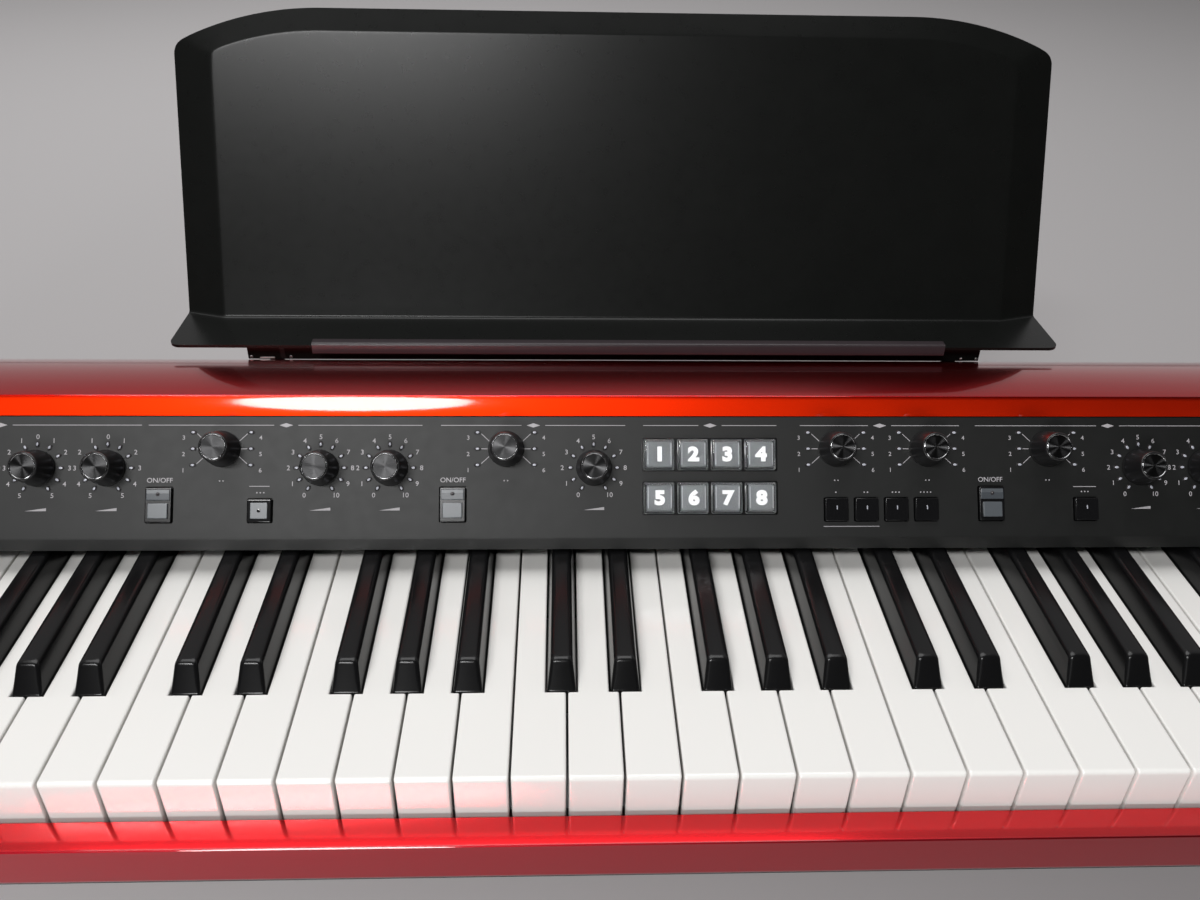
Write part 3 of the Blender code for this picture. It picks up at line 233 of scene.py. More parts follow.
def turned_ring(profile: Array, sides: int) -> Surface:
    """A ring: a closed profile turned about the third axis, with its last row joined to its first.

    Args:
        profile: Rows of radius and height, round the ring's section.
        sides: How many points go round the axis.

    Returns:
        The ring, facing outwards.
    """
    profile = np.asarray(profile, float)
    rows = len(profile)
    angle = 2 * math.pi * np.arange(sides) / sides
    height = np.broadcast_to(profile[:, 1][:, None], (rows, sides))
    points = np.stack([profile[:, :1] * np.cos(angle), profile[:, :1] * np.sin(angle), height], -1)
    return Surface(points.reshape(-1, 3), lattice(rows + 1, sides, True) % (rows * sides)).outward()


def arc(centre: Sequence[float], radius: float, start: float, end: float, steps: int) -> Array:
    """Points on a circle's arc.

    Args:
        centre: The arc's middle.
        radius: Its radius.
        start: The first angle in degrees.
        end: The last angle in degrees.
        steps: How many stretches it has.

    Returns:
        Rows of two coordinates.
    """
    angle = np.radians(np.linspace(start, end, steps + 1))
    return np.stack([centre[0] + radius * np.cos(angle), centre[1] + radius * np.sin(angle)], -1)


def bezier(start: Sequence[float], first: Sequence[float], second: Sequence[float],
           end: Sequence[float], steps: int) -> Array:
    """Points along a cubic curve, without its start.

    Args:
        start: Where the curve starts.
        first: The handle at its start.
        second: The handle at its end.
        end: Where it ends.
        steps: How many points to give.

    Returns:
        Rows of two coordinates.
    """
    t = (np.arange(1, steps + 1) / steps)[:, None]
    u = 1 - t
    return (u ** 3 * np.array(start) + 3 * u * u * t * np.array(first)
            + 3 * u * t * t * np.array(second) + t ** 3 * np.array(end))


def filleted(corners: Sequence[Sequence[float]], radii: Sequence[float], steps: int,
             closed: bool = True) -> Array:
    """A line through corners, with each corner rounded by an arc that touches both sides.

    Args:
        corners: The corners in order.
        radii: A radius for each corner, 0 where it stays sharp.
        steps: How many stretches each arc has.
        closed: True if the last corner runs on to the first.

    Returns:
        Rows of two coordinates.
    """
    corner = np.asarray(corners, float)
    pieces: list[Array] = []
    count = len(corner)
    for i in range(count):
        at_end = not closed and i in (0, count - 1)
        if radii[i] <= 0 or at_end:
            pieces.append(corner[i][None, :])
            continue
        back = corner[i - 1] - corner[i]
        ahead = corner[(i + 1) % count] - corner[i]
        back = back / np.linalg.norm(back)
        ahead = ahead / np.linalg.norm(ahead)
        half = math.acos(float(np.clip(back @ ahead, -1, 1))) / 2
        reach = radii[i] / math.tan(half)
        middle = corner[i] + (back + ahead) / np.linalg.norm(back + ahead) * radii[i] / math.sin(half)
        first = corner[i] + back * reach - middle
        last = corner[i] + ahead * reach - middle
        start = math.atan2(first[1], first[0])
        turn = (math.atan2(last[1], last[0]) - start + math.pi) % (2 * math.pi) - math.pi
        angle = start + turn * np.linspace(0, 1, steps + 1)
        pieces.append(middle + radii[i] * np.stack([np.cos(angle), np.sin(angle)], -1))
    return np.concatenate(pieces)


def shifted(line: Array, distance: float, closed: bool) -> Array:
    """A line moved to its own right-hand side, with mitred corners.

    Args:
        line: Rows of two coordinates.
        distance: How far it moves.
        closed: True if the line is a loop.

    Returns:
        The moved line.
    """
    step = np.diff(np.vstack([line, line[:1]]) if closed else line, axis=0)
    step = step / np.linalg.norm(step, axis=1)[:, None]
    normal = np.stack([step[:, 1], -step[:, 0]], -1)
    if closed:
        pair = normal + np.roll(normal, 1, axis=0)
    else:
        pair = np.vstack([normal[:1] * 2, normal[1:] + normal[:-1], normal[-1:] * 2])
    return line + pair / 2 * distance / np.einsum("ij,ij->i", pair / 2, pair / 2)[:, None]


def bent_sheet(line: Array, wall: float) -> Array:
    """The closed outline of a sheet whose outer face follows a line."""
    return np.concatenate([line, shifted(line, wall, False)[::-1]])


def along_x(outline: Array, low: float, high: float) -> Surface:
    """An outline in Y and Z carried along X.

    Args:
        outline: Rows of Y and Z.
        low: Where it starts.
        high: Where it ends.

    Returns:
        The closed solid.
    """
    x = np.array([low, high])[:, None]
    shape = (2, len(outline))
    return loft(np.stack([np.broadcast_to(x, shape), np.broadcast_to(outline[:, 0], shape),
                          np.broadcast_to(outline[:, 1], shape)], -1))


def oblong(width: float, depth: float, radius: float, steps: int = 4) -> Array:
    """A rectangle around the origin with rounded corners.

    Args:
        width: Its size along the first axis.
        depth: Its size along the second axis.
        radius: The corners' radius.
        steps: How many stretches each corner has.

    Returns:
        Rows of two coordinates, anticlockwise.
    """
    x = width / 2
    y = depth / 2
    return filleted([(x, -y), (x, y), (-x, y), (-x, -y)], [radius] * 4, steps)


def slab(width: float, depth: float, low: float, high: float, corner: float, edge: float,
         steps: int = 4, base_edge: float = 0.0) -> Surface:
    """A block with rounded upright corners and a rounded upper edge.

    Its rings are the same rectangle drawn in by the edge's radius times one less the
    cosine, while they rise by its sine.

    Args:
        width: Size along X.
        depth: Size along Y.
        low: The height of its base.
        high: The height of its top.
        corner: The upright corners' radius.
        edge: The upper edge's radius.
        steps: How many stretches each round has.
        base_edge: The lower edge's radius.

    Returns:
        The closed block.
    """
    turn = np.linspace(0, math.pi / 2, steps + 1)
    inset = edge * (1 - np.cos(turn))
    height = high - edge * (1 - np.sin(turn))
    inset = np.concatenate([inset, [edge * 1.6]])
    height = np.concatenate([height, [high]])
    if base_edge > 0:
        lower = base_edge * (1 - np.cos(turn[::-1]))
        inset = np.concatenate([lower, inset])
        height = np.concatenate([low + base_edge * (1 - np.sin(turn[::-1])), height])
    else:
        inset = np.concatenate([[0.0], inset])
        height = np.concatenate([[low], height])
    rings = []
    for shrink, z in zip(inset, height):
        ring = oblong(width - 2 * shrink, depth - 2 * shrink, max(corner - shrink, 0.05), steps)
        rings.append(np.column_stack([ring, np.full(len(ring), z)]))
    return loft(np.stack(rings))


def plate_of(outline: Array, low: float, high: float) -> Surface:
    """An outline in X and Y between two heights."""
    return loft(np.stack([np.column_stack([outline, np.full(len(outline), z)]) for z in (low, high)]))


def bar_between(start: Sequence[float], end: Sequence[float], width: float, low: float,
                high: float) -> Surface:
    """A flat bar from one point to another.

    Args:
        start: Its first end in X and Y.
        end: Its second end.
        width: Its width.
        low: The height of its base.
        high: The height of its top.

    Returns:
        The closed bar.
    """
    first = np.asarray(start, float)
    last = np.asarray(end, float)
    along = (last - first) / np.linalg.norm(last - first)
    side = np.array([along[1], -along[0]]) * width / 2
    return plate_of(np.stack([first + side, last + side, last - side, first - side]), low, high)


def lathe(points: Sequence[Sequence[float]], radii: Sequence[float], sides: int, steps: int = 5) -> Surface:
    """A turned solid whose profile has rounded corners.

    Args:
        points: The profile's corners, from one pole to the other.
        radii: A radius for each corner.
        sides: How many points go round.
        steps: How many stretches each round has.

    Returns:
        The solid.
    """
    return turned(filleted(points, radii, steps, False), sides)


def barrel(radius: float, low: float, high: float, sides: int = 32) -> Surface:
    """A plain round bar between two heights."""
    return turned([(radius, low), (radius, high)], sides)


def pan_head(radius: float) -> tuple[Surface, Surface]:
    """A pan-head screw on its seat, with its axis along the third axis.

    Args:
        radius: The head's radius.

    Returns:
        The head, and two dark bars of painted shade for its cross recess.
    """
    seat = -0.2
    rise = radius * 0.5
    fine = radius * 0.2
    head = lathe([(0.0, seat), (radius, seat), (radius, fine), (radius * 0.7, rise), (0.0, rise)],
                 [0, 0, fine / 2, fine, 0], 28)
    # Painted shade: two dark bars stand for the shadow in the cross recess.
    across = bar_between((-rise, 0.0), (rise, 0.0), fine, 0.1, rise + 0.02)
    along = bar_between((0.0, -rise), (0.0, rise), fine, 0.1, rise + 0.015)
    return head, joined([across, along])


class Nodes:
    """A node tree, and short calls that add to it."""

    def __init__(self, owner: bpy.types.ID) -> None:
        """Start with the tree of a material or a world."""
        owner.use_nodes = True
        self.tree = owner.node_tree

    def wire(self, node: bpy.types.Node, **inputs: object) -> bpy.types.Node:
        """Link or set a node's inputs.

        Args:
            node: The node.
            inputs: A socket or a constant for each input, with _ for a space in its name.

        Returns:
            The same node.
        """
        for name, value in inputs.items():
            socket = node.inputs[name.replace("_", " ")]
            if isinstance(value, bpy.types.NodeSocket):
                self.tree.links.new(value, socket)
            else:
                socket.default_value = value
        return node

    def node(self, kind: str, **inputs: object) -> bpy.types.Node:
        """A new node with its inputs linked or set."""
        return self.wire(self.tree.nodes.new("ShaderNode" + kind), **inputs)


class Recipe(Nodes):
    """A material's nodes: one Principled shader, and short calls for what feeds it."""

    def __init__(self, name: str) -> None:
        """Start a material with its shader and the object's own coordinates."""
        self.material = bpy.data.materials.new(name)
        super().__init__(self.material)
        self.shader = self.tree.nodes["Principled BSDF"]
        self.place = self.node("TexCoord").outputs["Object"]

    def set(self, **inputs: object) -> bpy.types.Material:
        """Link or set the shader's inputs, and hand over the material."""
        self.wire(self.shader, **inputs)
        return self.material

    def axis(self, letter: str) -> bpy.types.NodeSocket:
        """One of the place's coordinates, in metres."""
        return self.node("SeparateXYZ", Vector=self.place).outputs[letter]

    def noise(self, grain: float, detail: float = 3.0, stretch: Sequence[float] = (1, 1, 1),
              place: Optional[bpy.types.NodeSocket] = None) -> bpy.types.NodeSocket:
        """Noise with a grain in millimetres.

        Args:
            grain: The size of its coarsest spots.
            detail: How many finer layers it has.
            stretch: How much finer it is along each axis.
            place: The coordinates it reads, or None for the object's own.

        Returns:
            The noise from 0 to 1.
        """
        spot = self.node("Mapping", Scale=stretch, Vector=place or self.place).outputs["Vector"]
        return self.node("TexNoise", Scale=1.0 / (grain * MM), Detail=detail, Vector=spot).outputs["Fac"]

    def cells(self, size: float, output: str = "Color") -> bpy.types.NodeSocket:
        """Random cells with a size in millimetres."""
        return self.node("TexVoronoi", Scale=1.0 / (size * MM), Vector=self.place).outputs[output]

    def number(self, source: bpy.types.NodeSocket, low: float, high: float,
               from_low: float = 0.3, from_high: float = 0.7) -> bpy.types.NodeSocket:
        """A texture's value spread between two numbers.

        Args:
            source: The texture.
            low: What it gives at the lower end.
            high: What it gives at the upper end.
            from_low: The texture's value at the lower end.
            from_high: The texture's value at the upper end.

        Returns:
            The spread value.
        """
        return self.node("MapRange", Value=source, From_Min=from_low, From_Max=from_high,
                         To_Min=low, To_Max=high).outputs["Result"]

    def colours(self, source: bpy.types.NodeSocket, dark: Colour, light: Colour,
                low: float = 0.3, high: float = 0.7) -> bpy.types.NodeSocket:
        """A texture's value as a colour between two.

        Args:
            source: The texture.
            dark: The colour at the lower end.
            light: The colour at the upper end.
            low: The texture's value at the lower end.
            high: The texture's value at the upper end.

        Returns:
            The colour.
        """
        ramp = self.node("ValToRGB", Fac=source)
        for element, position, colour in zip(ramp.color_ramp.elements, (low, high), (dark, light)):
            element.position = position
            element.color = (*colour, 1.0)
        return ramp.outputs["Color"]

    def mixed(self, first: object, second: object, share: object, blend: str = "MIX") -> bpy.types.NodeSocket:
        """Two colours as one.

        Args:
            first: The first colour, as a socket or a constant.
            second: The second colour.
            share: How much of the second there is.
            blend: How they are mixed.

        Returns:
            The mixed colour.
        """
        mix = self.tree.nodes.new("ShaderNodeMix")
        mix.data_type = "RGBA"
        mix.blend_type = blend
        return self.wire(mix, Factor=share, A=first, B=second).outputs["Result"]

    def bump(self, source: bpy.types.NodeSocket, depth: float, strength: float) -> None:
        """Turn a texture into relief with a depth in millimetres."""
        relief = self.node("Bump", Height=source, Distance=depth * MM, Strength=strength)
        self.set(Normal=relief.outputs["Normal"])


@dataclass(frozen=True)
class MetallicLacquer:
    """Red lacquer over fine metal flakes, under a clear coat.

    The narrow front faces and the top faces take two colours, split at the crease: painted light and shade for
    how brightly each face is lit.
    """

    name: str = "metallic_lacquer"
    # The top and front colours are painted light and shade, not two lacquers.
    top: Colour = (0.48, 0.0015, 0.005)
    front: Colour = (1.0, 0.031, 0.0012)
    crease: float = 18.2
    flake: float = 0.16
    sparkle: float = 0.10
    top_roughness: float = 0.26
    front_roughness: float = 0.43
    coat_roughness: float = 0.06

    def make(self) -> bpy.types.Material:
        """The lacquer: its colour, with painted light and shade, and its gloss change at the crease; each
        flake is its own shade.
        """
        recipe = Recipe(self.name)
        behind = recipe.number(recipe.axis("Y"), 0.0, 1.0, (self.crease - 0.5) * MM, (self.crease + 0.3) * MM)
        # Painted light and shade: the front faces and the top faces get different colours for how the light
        # falls on them.
        shade = recipe.colours(behind, self.front, self.top, 0.0, 1.0)
        glint = recipe.colours(recipe.cells(self.flake), (1 - self.sparkle,) * 3, (1.0, 1.0, 1.0), 0.1, 0.9)
        gloss = recipe.number(behind, self.front_roughness, self.top_roughness, 0.0, 1.0)
        return recipe.set(Base_Color=recipe.mixed(shade, glint, 1.0, "MULTIPLY"), Roughness=gloss,
                          Metallic=1.0, Coat_Weight=1.0, Coat_Roughness=self.coat_roughness, Coat_IOR=1.5)


@dataclass(frozen=True)
class Coating:
    """A moulded plastic or a painted surface with its own grain."""

    name: str
    colour: Colour
    roughness: float = 0.4
    grain: float = 1.0
    depth: float = 0.02
    change: float = 0.12
    metallic: float = 0.0
    coat: float = 0.0
    specular: float = 0.5
    wander: float = 0.03

    def make(self) -> bpy.types.Material:
        """The coating: colour and roughness wander slightly, and the grain is relief."""
        recipe = Recipe(self.name)
        darker = tuple(c * (1 - self.change) for c in self.colour)
        lighter = tuple(min(1.0, c * (1 + self.change)) for c in self.colour)
        shade = recipe.colours(recipe.noise(self.grain * 45), darker, lighter)
        gloss = recipe.number(recipe.noise(self.grain * 12, 4.0),
                              self.roughness * (1 - self.wander), self.roughness * (1 + self.wander))
        if self.depth > 0:
            recipe.bump(recipe.noise(self.grain, 2.0), self.depth, 0.6)
        return recipe.set(Base_Color=shade, Roughness=gloss, Metallic=self.metallic, Coat_Weight=self.coat,
                          Coat_Roughness=0.08, Specular_IOR_Level=self.specular)


@dataclass(frozen=True)
class SpunMetal:
    """Metal turned on a lathe, whose fine rings draw the light out into a bow."""

    name: str = "spun_metal"
    colour: Colour = (0.045, 0.045, 0.046)
    roughness: float = 0.35
    anisotropy: float = 1.0
    ring: float = 0.12

    def make(self) -> bpy.types.Material:
        """The metal: its tangent runs outwards on the face's own polar map, across its rings."""
        recipe = Recipe(self.name)
        polar = recipe.node("UVMap")
        polar.uv_map = "polar"
        tangent = recipe.node("Tangent")
        tangent.direction_type = "UV_MAP"
        tangent.uv_map = "polar"
        rings = recipe.noise(self.ring, 2.0, (1.0, 0.002, 1.0), polar.outputs["UV"])
        darker = tuple(c * 0.8 for c in self.colour)
        return recipe.set(Base_Color=recipe.colours(rings, darker, self.colour, 0.35, 0.65),
                          Tangent=tangent.outputs["Tangent"], Metallic=1.0, Roughness=self.roughness,
                          Anisotropic=self.anisotropy)


@dataclass(frozen=True)
class ClearPlastic:
    """A clear moulding that light passes through."""

    name: str = "clear_cap"
    colour: Colour = (0.9, 0.92, 0.93)
    roughness: float = 0.06

    def make(self) -> bpy.types.Material:
        """The moulding, with a faint unevenness in its gloss."""
        recipe = Recipe(self.name)
        gloss = recipe.number(recipe.noise(4.0, 2.0), self.roughness * 0.8, self.roughness * 1.3)
        return recipe.set(Roughness=gloss, Base_Color=(*self.colour, 1.0), Transmission_Weight=1.0, IOR=1.47)


@dataclass(frozen=True)
class BoardLaminate:
    """A circuit board: solder mask with copper tracks beneath."""

    name: str = "board_laminate"
    mask: Colour = (0.008, 0.075, 0.028)
    track: Colour = (0.02, 0.15, 0.05)

    def make(self) -> bpy.types.Material:
        """The board: cells of a few millimetres show where the copper lies."""
        recipe = Recipe(self.name)
        copper = recipe.cells(3.2, "Distance")
        recipe.bump(copper, 0.04, 0.4)
        return recipe.set(Base_Color=recipe.colours(copper, self.mask, self.track, 0.35, 0.42), Roughness=0.35)


Look = Union[MetallicLacquer, Coating, SpunMetal, ClearPlastic, BoardLaminate]


class Finish(Enum):
    """Every finish on the piano, each with the slot that it fills."""

    # Shell: the bright orange front colour is a painted highlight, and the darker top colour is painted shade.
    LACQUER = MetallicLacquer(), Slot.RED
    # Rail: the darker front colour is painted shade on the rail's face.
    RAIL = MetallicLacquer("rail_lacquer", (0.72, 0.004, 0.010), (0.30, 0.005, 0.012), -169.9,
                           top_roughness=0.16, coat_roughness=0.04), Slot.RED
    STEEL = Coating("black_steel_coat", (0.02, 0.02, 0.021), 0.48, 0.7, 0.03), Slot.STEEL
    DESK = Coating("desk_powder_coat", (0.0045, 0.0049, 0.0045), 0.28, 0.45, 0.003, 0.08,
                   specular=0.22), Slot.COAT
    PANEL = Coating("panel_enamel", (0.0030, 0.0034, 0.0031), 0.49, 0.5, 0.004, 0.05,
                    specular=0.46), Slot.PANEL
    WHITE_KEY = Coating("white_key_plastic", (0.80, 0.79, 0.765), 0.16, 3.0, 0.004, 0.012,
                        coat=0.3), Slot.WHITE_KEY
    BLACK_KEY = Coating("black_key_plastic", (0.0045, 0.0045, 0.0048), 0.22, 2.0, 0.006, 0.1,
                        specular=0.3), Slot.BLACK_KEY
    SATIN = Coating("knob_plastic", (0.006, 0.006, 0.0065), 0.32, 0.6, 0.01, 0.1), Slot.PLASTIC
    GLOSS = Coating("gloss_plastic", (0.006, 0.006, 0.0065), 0.10, 4.0, 0.0, 0.1), Slot.PLASTIC
    BEZEL = Coating("bezel_plastic", (0.004, 0.004, 0.0045), 0.25, 1.0, 0.006, 0.1), Slot.PLASTIC
    SLATE = Coating("slate_plastic", (0.055, 0.062, 0.070), 0.25, 1.5, 0.003, 0.06), Slot.SMOKE
    PALE = Coating("pale_grey_plastic", (0.075, 0.084, 0.093), 0.34, 1.2, 0.004, 0.06,
                   specular=0.8), Slot.SMOKE
    CAP_CORE = Coating("cap_core_plastic", (0.40, 0.405, 0.41), 0.32, 1.2, 0.004, 0.06), Slot.SMOKE
    # Near-white strips at the clear caps' sides: painted highlights for the light edges of the clear plastic.
    CAP_EDGE = Coating("cap_edge_plastic", (0.85, 0.86, 0.87), 0.25, 1.2, 0.0, 0.03), Slot.SMOKE
    # Pale cores in the lamps and light marks on the buttons: painted glints.
    DIE = Coating("lamp_die", (0.40, 0.41, 0.46), 0.2, 1.0, 0.0, 0.05), Slot.SMOKE
    CLEAR = ClearPlastic(), Slot.SMOKE
    LED = Coating("led_lens", (0.035, 0.03, 0.032), 0.08, 1.0, 0.0, 0.1), Slot.SMOKE
    SOCKET_DARK = Coating("led_socket", (0.003, 0.003, 0.003), 0.5, 1.0, 0.0, 0.1), Slot.PLASTIC
    INK = Coating("screen_ink", (0.36, 0.345, 0.36), 0.5, 0.3, 0.0, 0.04), Slot.PANEL
    WHITE_INK = Coating("bold_ink", (0.96, 0.97, 0.98), 0.4, 0.3, 0.0, 0.0), Slot.SMOKE
    SPUN = SpunMetal(), Slot.ZINC
    TRIM = Coating("bright_trim", (0.45, 0.45, 0.46), 0.24, 0.6, 0.0, 0.03, metallic=1.0), Slot.ZINC
    RING = Coating("cap_ring", (0.22, 0.22, 0.225), 0.15, 0.6, 0.0, 0.03, metallic=1.0), Slot.ZINC
    EDGING = Coating("edging_plastic", (0.032, 0.025, 0.028), 0.30, 0.7, 0.006, 0.06,
                     specular=0.3), Slot.EDGING
    RUBBER = Coating("rubber", (0.016, 0.016, 0.016), 0.75, 0.5, 0.04, 0.15), Slot.RUBBER
    ZINC = Coating("zinc_plate", (0.55, 0.56, 0.57), 0.34, 2.2, 0.01, 0.15, metallic=0.9), Slot.ZINC
    SCREW = Coating("black_screw", (0.05, 0.05, 0.052), 0.3, 0.4, 0.0, 0.1, metallic=0.8), Slot.ZINC
    BOARD = BoardLaminate(), Slot.BOARD

    def __init__(self, look: Look, slot: Slot) -> None:
        """Keep the look and the slot."""
        self.look = look
        self.slot = slot


def linked(name: str, data: bpy.types.ID) -> bpy.types.Object:
    """A new object in the scene.

    Args:
        name: Its name.
        data: Its mesh, curve, camera or light.

    Returns:
        The object.
    """
    item = bpy.data.objects.new(name, data)
    bpy.context.scene.collection.objects.link(item)
    return item


def shaded(mesh: bpy.types.Mesh, crease: float) -> bpy.types.Mesh:
    """Shade a mesh smooth except at its sharper edges.

    Args:
        mesh: The mesh.
        crease: The angle in degrees past which an edge stays sharp.

    Returns:
        The same mesh.
    """
    mesh.shade_smooth()
    mesh.set_sharp_from_angle(angle=math.radians(crease))
    return mesh


def stand(item: bpy.types.Object, right: Array, up: Array, back: Array, place: Sequence[float]) -> None:
    """Turn an object's own axes into three directions and put it at a place.

    Args:
        item: The object.
        right: Where its first axis points.
        up: Where its second axis points.
        back: Where its third axis points.
        place: The place in metres.
    """
    matrix = np.eye(4)
    matrix[:3] = np.column_stack([right, up, back, place])
    item.matrix_world = Matrix(matrix.tolist())


class Workshop:
    """Puts finished surfaces into the scene as pieces that ride on the frame's bodies."""

    def __init__(self) -> None:
        """Start with no material made."""
        self.made: dict[Finish, bpy.types.Material] = {}
        self.names: list[str] = []

    def material(self, finish: Finish) -> bpy.types.Material:
        """The finish's material, made the first time it is asked for."""
        if finish not in self.made:
            self.made[finish] = finish.look.make()
        return self.made[finish]

    def mesh(self, name: str, surface: Surface, crease: float) -> bpy.types.Mesh:
        """A mesh in metres, shaded smooth except at its sharper edges.

        Args:
            name: The mesh's name.
            surface: The surface in millimetres.
            crease: The angle in degrees past which an edge stays sharp.

        Returns:
            The mesh.
        """
        mesh = bpy.data.meshes.new(name)
        mesh.from_pydata((surface.points * MM).tolist(), [], surface.quads.tolist() + list(surface.caps))
        mesh.validate()
        return shaded(mesh, crease)

    def piece(self, name: str, surface: Surface, finish: Finish, body: str = CABINET,
              replaces: Sequence[str] = (), crease: float = CREASE, cuts: Sequence[Surface] = (),
              edge: float = 0.0, polar: Optional[Array] = None,
              slot: Optional[Slot] = None) -> bpy.types.Object:
        """Make one piece, carve it, soften its edges and let it ride on its body.

        Args:
            name: The piece's name.
            surface: Its surface in millimetres, in the frame's axes.
            finish: What it is made of.
            body: The body it rides on.
            replaces: The CAD nodes that it stands for.
            crease: The angle in degrees past which an edge stays sharp.
            cuts: Solids taken out of it.
            edge: The width of the bevel on its sharp edges, 0 for none.
            polar: A polar map with two values for each point, for a turned face.
            slot: The record's material slot where it isn't the finish's own.

        Returns:
            The new object.
        """
        mesh = self.mesh(name, surface, crease)
        mesh.materials.append(self.material(finish))
        if polar is not None:
            layer = mesh.uv_layers.new(name="polar")
            corner = np.empty(len(mesh.loops), dtype=np.int32)
            mesh.loops.foreach_get("vertex_index", corner)
            layer.data.foreach_set("uv", polar[corner].astype(np.float32).ravel())
        item = linked(name, mesh)
        if cuts:
            self.carve(item, joined(cuts), crease)
        return self.settle(item, body, slot or finish.slot, replaces, edge)

    def settle(self, item: bpy.types.Object, body: str, slot: Slot, replaces: Sequence[str],
               edge: float) -> bpy.types.Object:
        """Bevel an object and seat it on its body.

        Args:
            item: The object.
            body: The body it rides on.
            slot: The record's material slot; not used.
            replaces: The CAD nodes that it stands for.
            edge: The width of the bevel, 0 for none.

        Returns:
            The same object.
        """
        if edge > 0:
            bevel = item.modifiers.new("softened_edges", "BEVEL")
            bevel.width = edge * MM
            bevel.segments = 3
            bevel.limit_method = "ANGLE"
            bevel.angle_limit = math.radians(38)
            bevel.harden_normals = True
        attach(item, body)
        if replaces:
            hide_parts(*replaces)
        self.names.append(item.name)
        return item

    def carve(self, item: bpy.types.Object, cutter: Surface, crease: float) -> None:
        """Take a cutter's solids out of an object's mesh.

        Args:
            item: The object to cut.
            cutter: The solids to take away, all in one surface.
            crease: The angle in degrees past which an edge stays sharp.
        """
        tool = linked("cutter", self.mesh("cutter", cutter, crease))
        cut = item.modifiers.new("cut", "BOOLEAN")
        cut.operation = "DIFFERENCE"
        cut.solver = "EXACT"
        cut.use_self = True
        cut.object = tool
        evaluated = item.evaluated_get(bpy.context.evaluated_depsgraph_get())
        mesh = bpy.data.meshes.new_from_object(evaluated)
        item.modifiers.clear()
        item.data = shaded(mesh, crease)
        bpy.data.objects.remove(tool)

    def cast(self, node: str, name: str, finish: Finish, edge: float) -> bpy.types.Object:
        """A merged copy of a CAD node with softened edges, which stands for the node.

        Args:
            node: The CAD node.
            name: The new piece's name.
            finish: What it is made of.
            edge: The width of the bevel on its edges.

        Returns:
            The new object.
        """
        work = bmesh.new()
        work.from_mesh(frame["nodes"][node].data)
        bmesh.ops.remove_doubles(work, verts=work.verts, dist=0.005 * MM)
        bmesh.ops.dissolve_limit(work, angle_limit=math.radians(0.6), verts=work.verts, edges=work.edges)
        mesh = bpy.data.meshes.new(name)
        work.to_mesh(mesh)
        work.free()
        mesh.materials.clear()
        mesh.materials.append(self.material(finish))
        item = linked(name, shaded(mesh, CREASE))
        return self.settle(item, frame["nodes"][node]["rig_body"], finish.slot, [node], edge)

    def dress(self, node: str, finish: Finish) -> None:
        """Give a CAD node that stays in view its finish.

        Args:
            node: The CAD node.
            finish: What it is made of.
        """
        slots = frame["nodes"][node].data.materials
        slots.clear()
        slots.append(self.material(finish))


def node_box(node: str) -> tuple[Array, Array]:
    """A CAD node's lowest and highest corners in millimetres."""
    low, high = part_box(node)
    return np.array(low) / MM, np.array(high) / MM


@dataclass
class Assembly:
    """A sub-assembly, with the workshop that makes its pieces."""

    shop: Workshop


@dataclass(frozen=True)
class Lamp:
    """A flat soft lamp that faces a point, with its places and sizes in metres."""

    name: str
    place: tuple[float, float, float]
    aim: tuple[float, float, float]
    size: tuple[float, float]
    power: float
    shape: str = "RECTANGLE"

    def hang(self) -> None:
        """Put the lamp into the scene."""
        data = bpy.data.lights.new(self.name, "AREA")
        data.shape = self.shape
        data.size, data.size_y = self.size
        data.energy = self.power
        back = np.array(self.place, float) - np.array(self.aim, float)
        back /= np.linalg.norm(back)
        side = np.cross((0.0, 0.0, 1.0), back)
        side /= np.linalg.norm(side)
        stand(linked(self.name, data), side, np.cross(back, side), back, self.place)


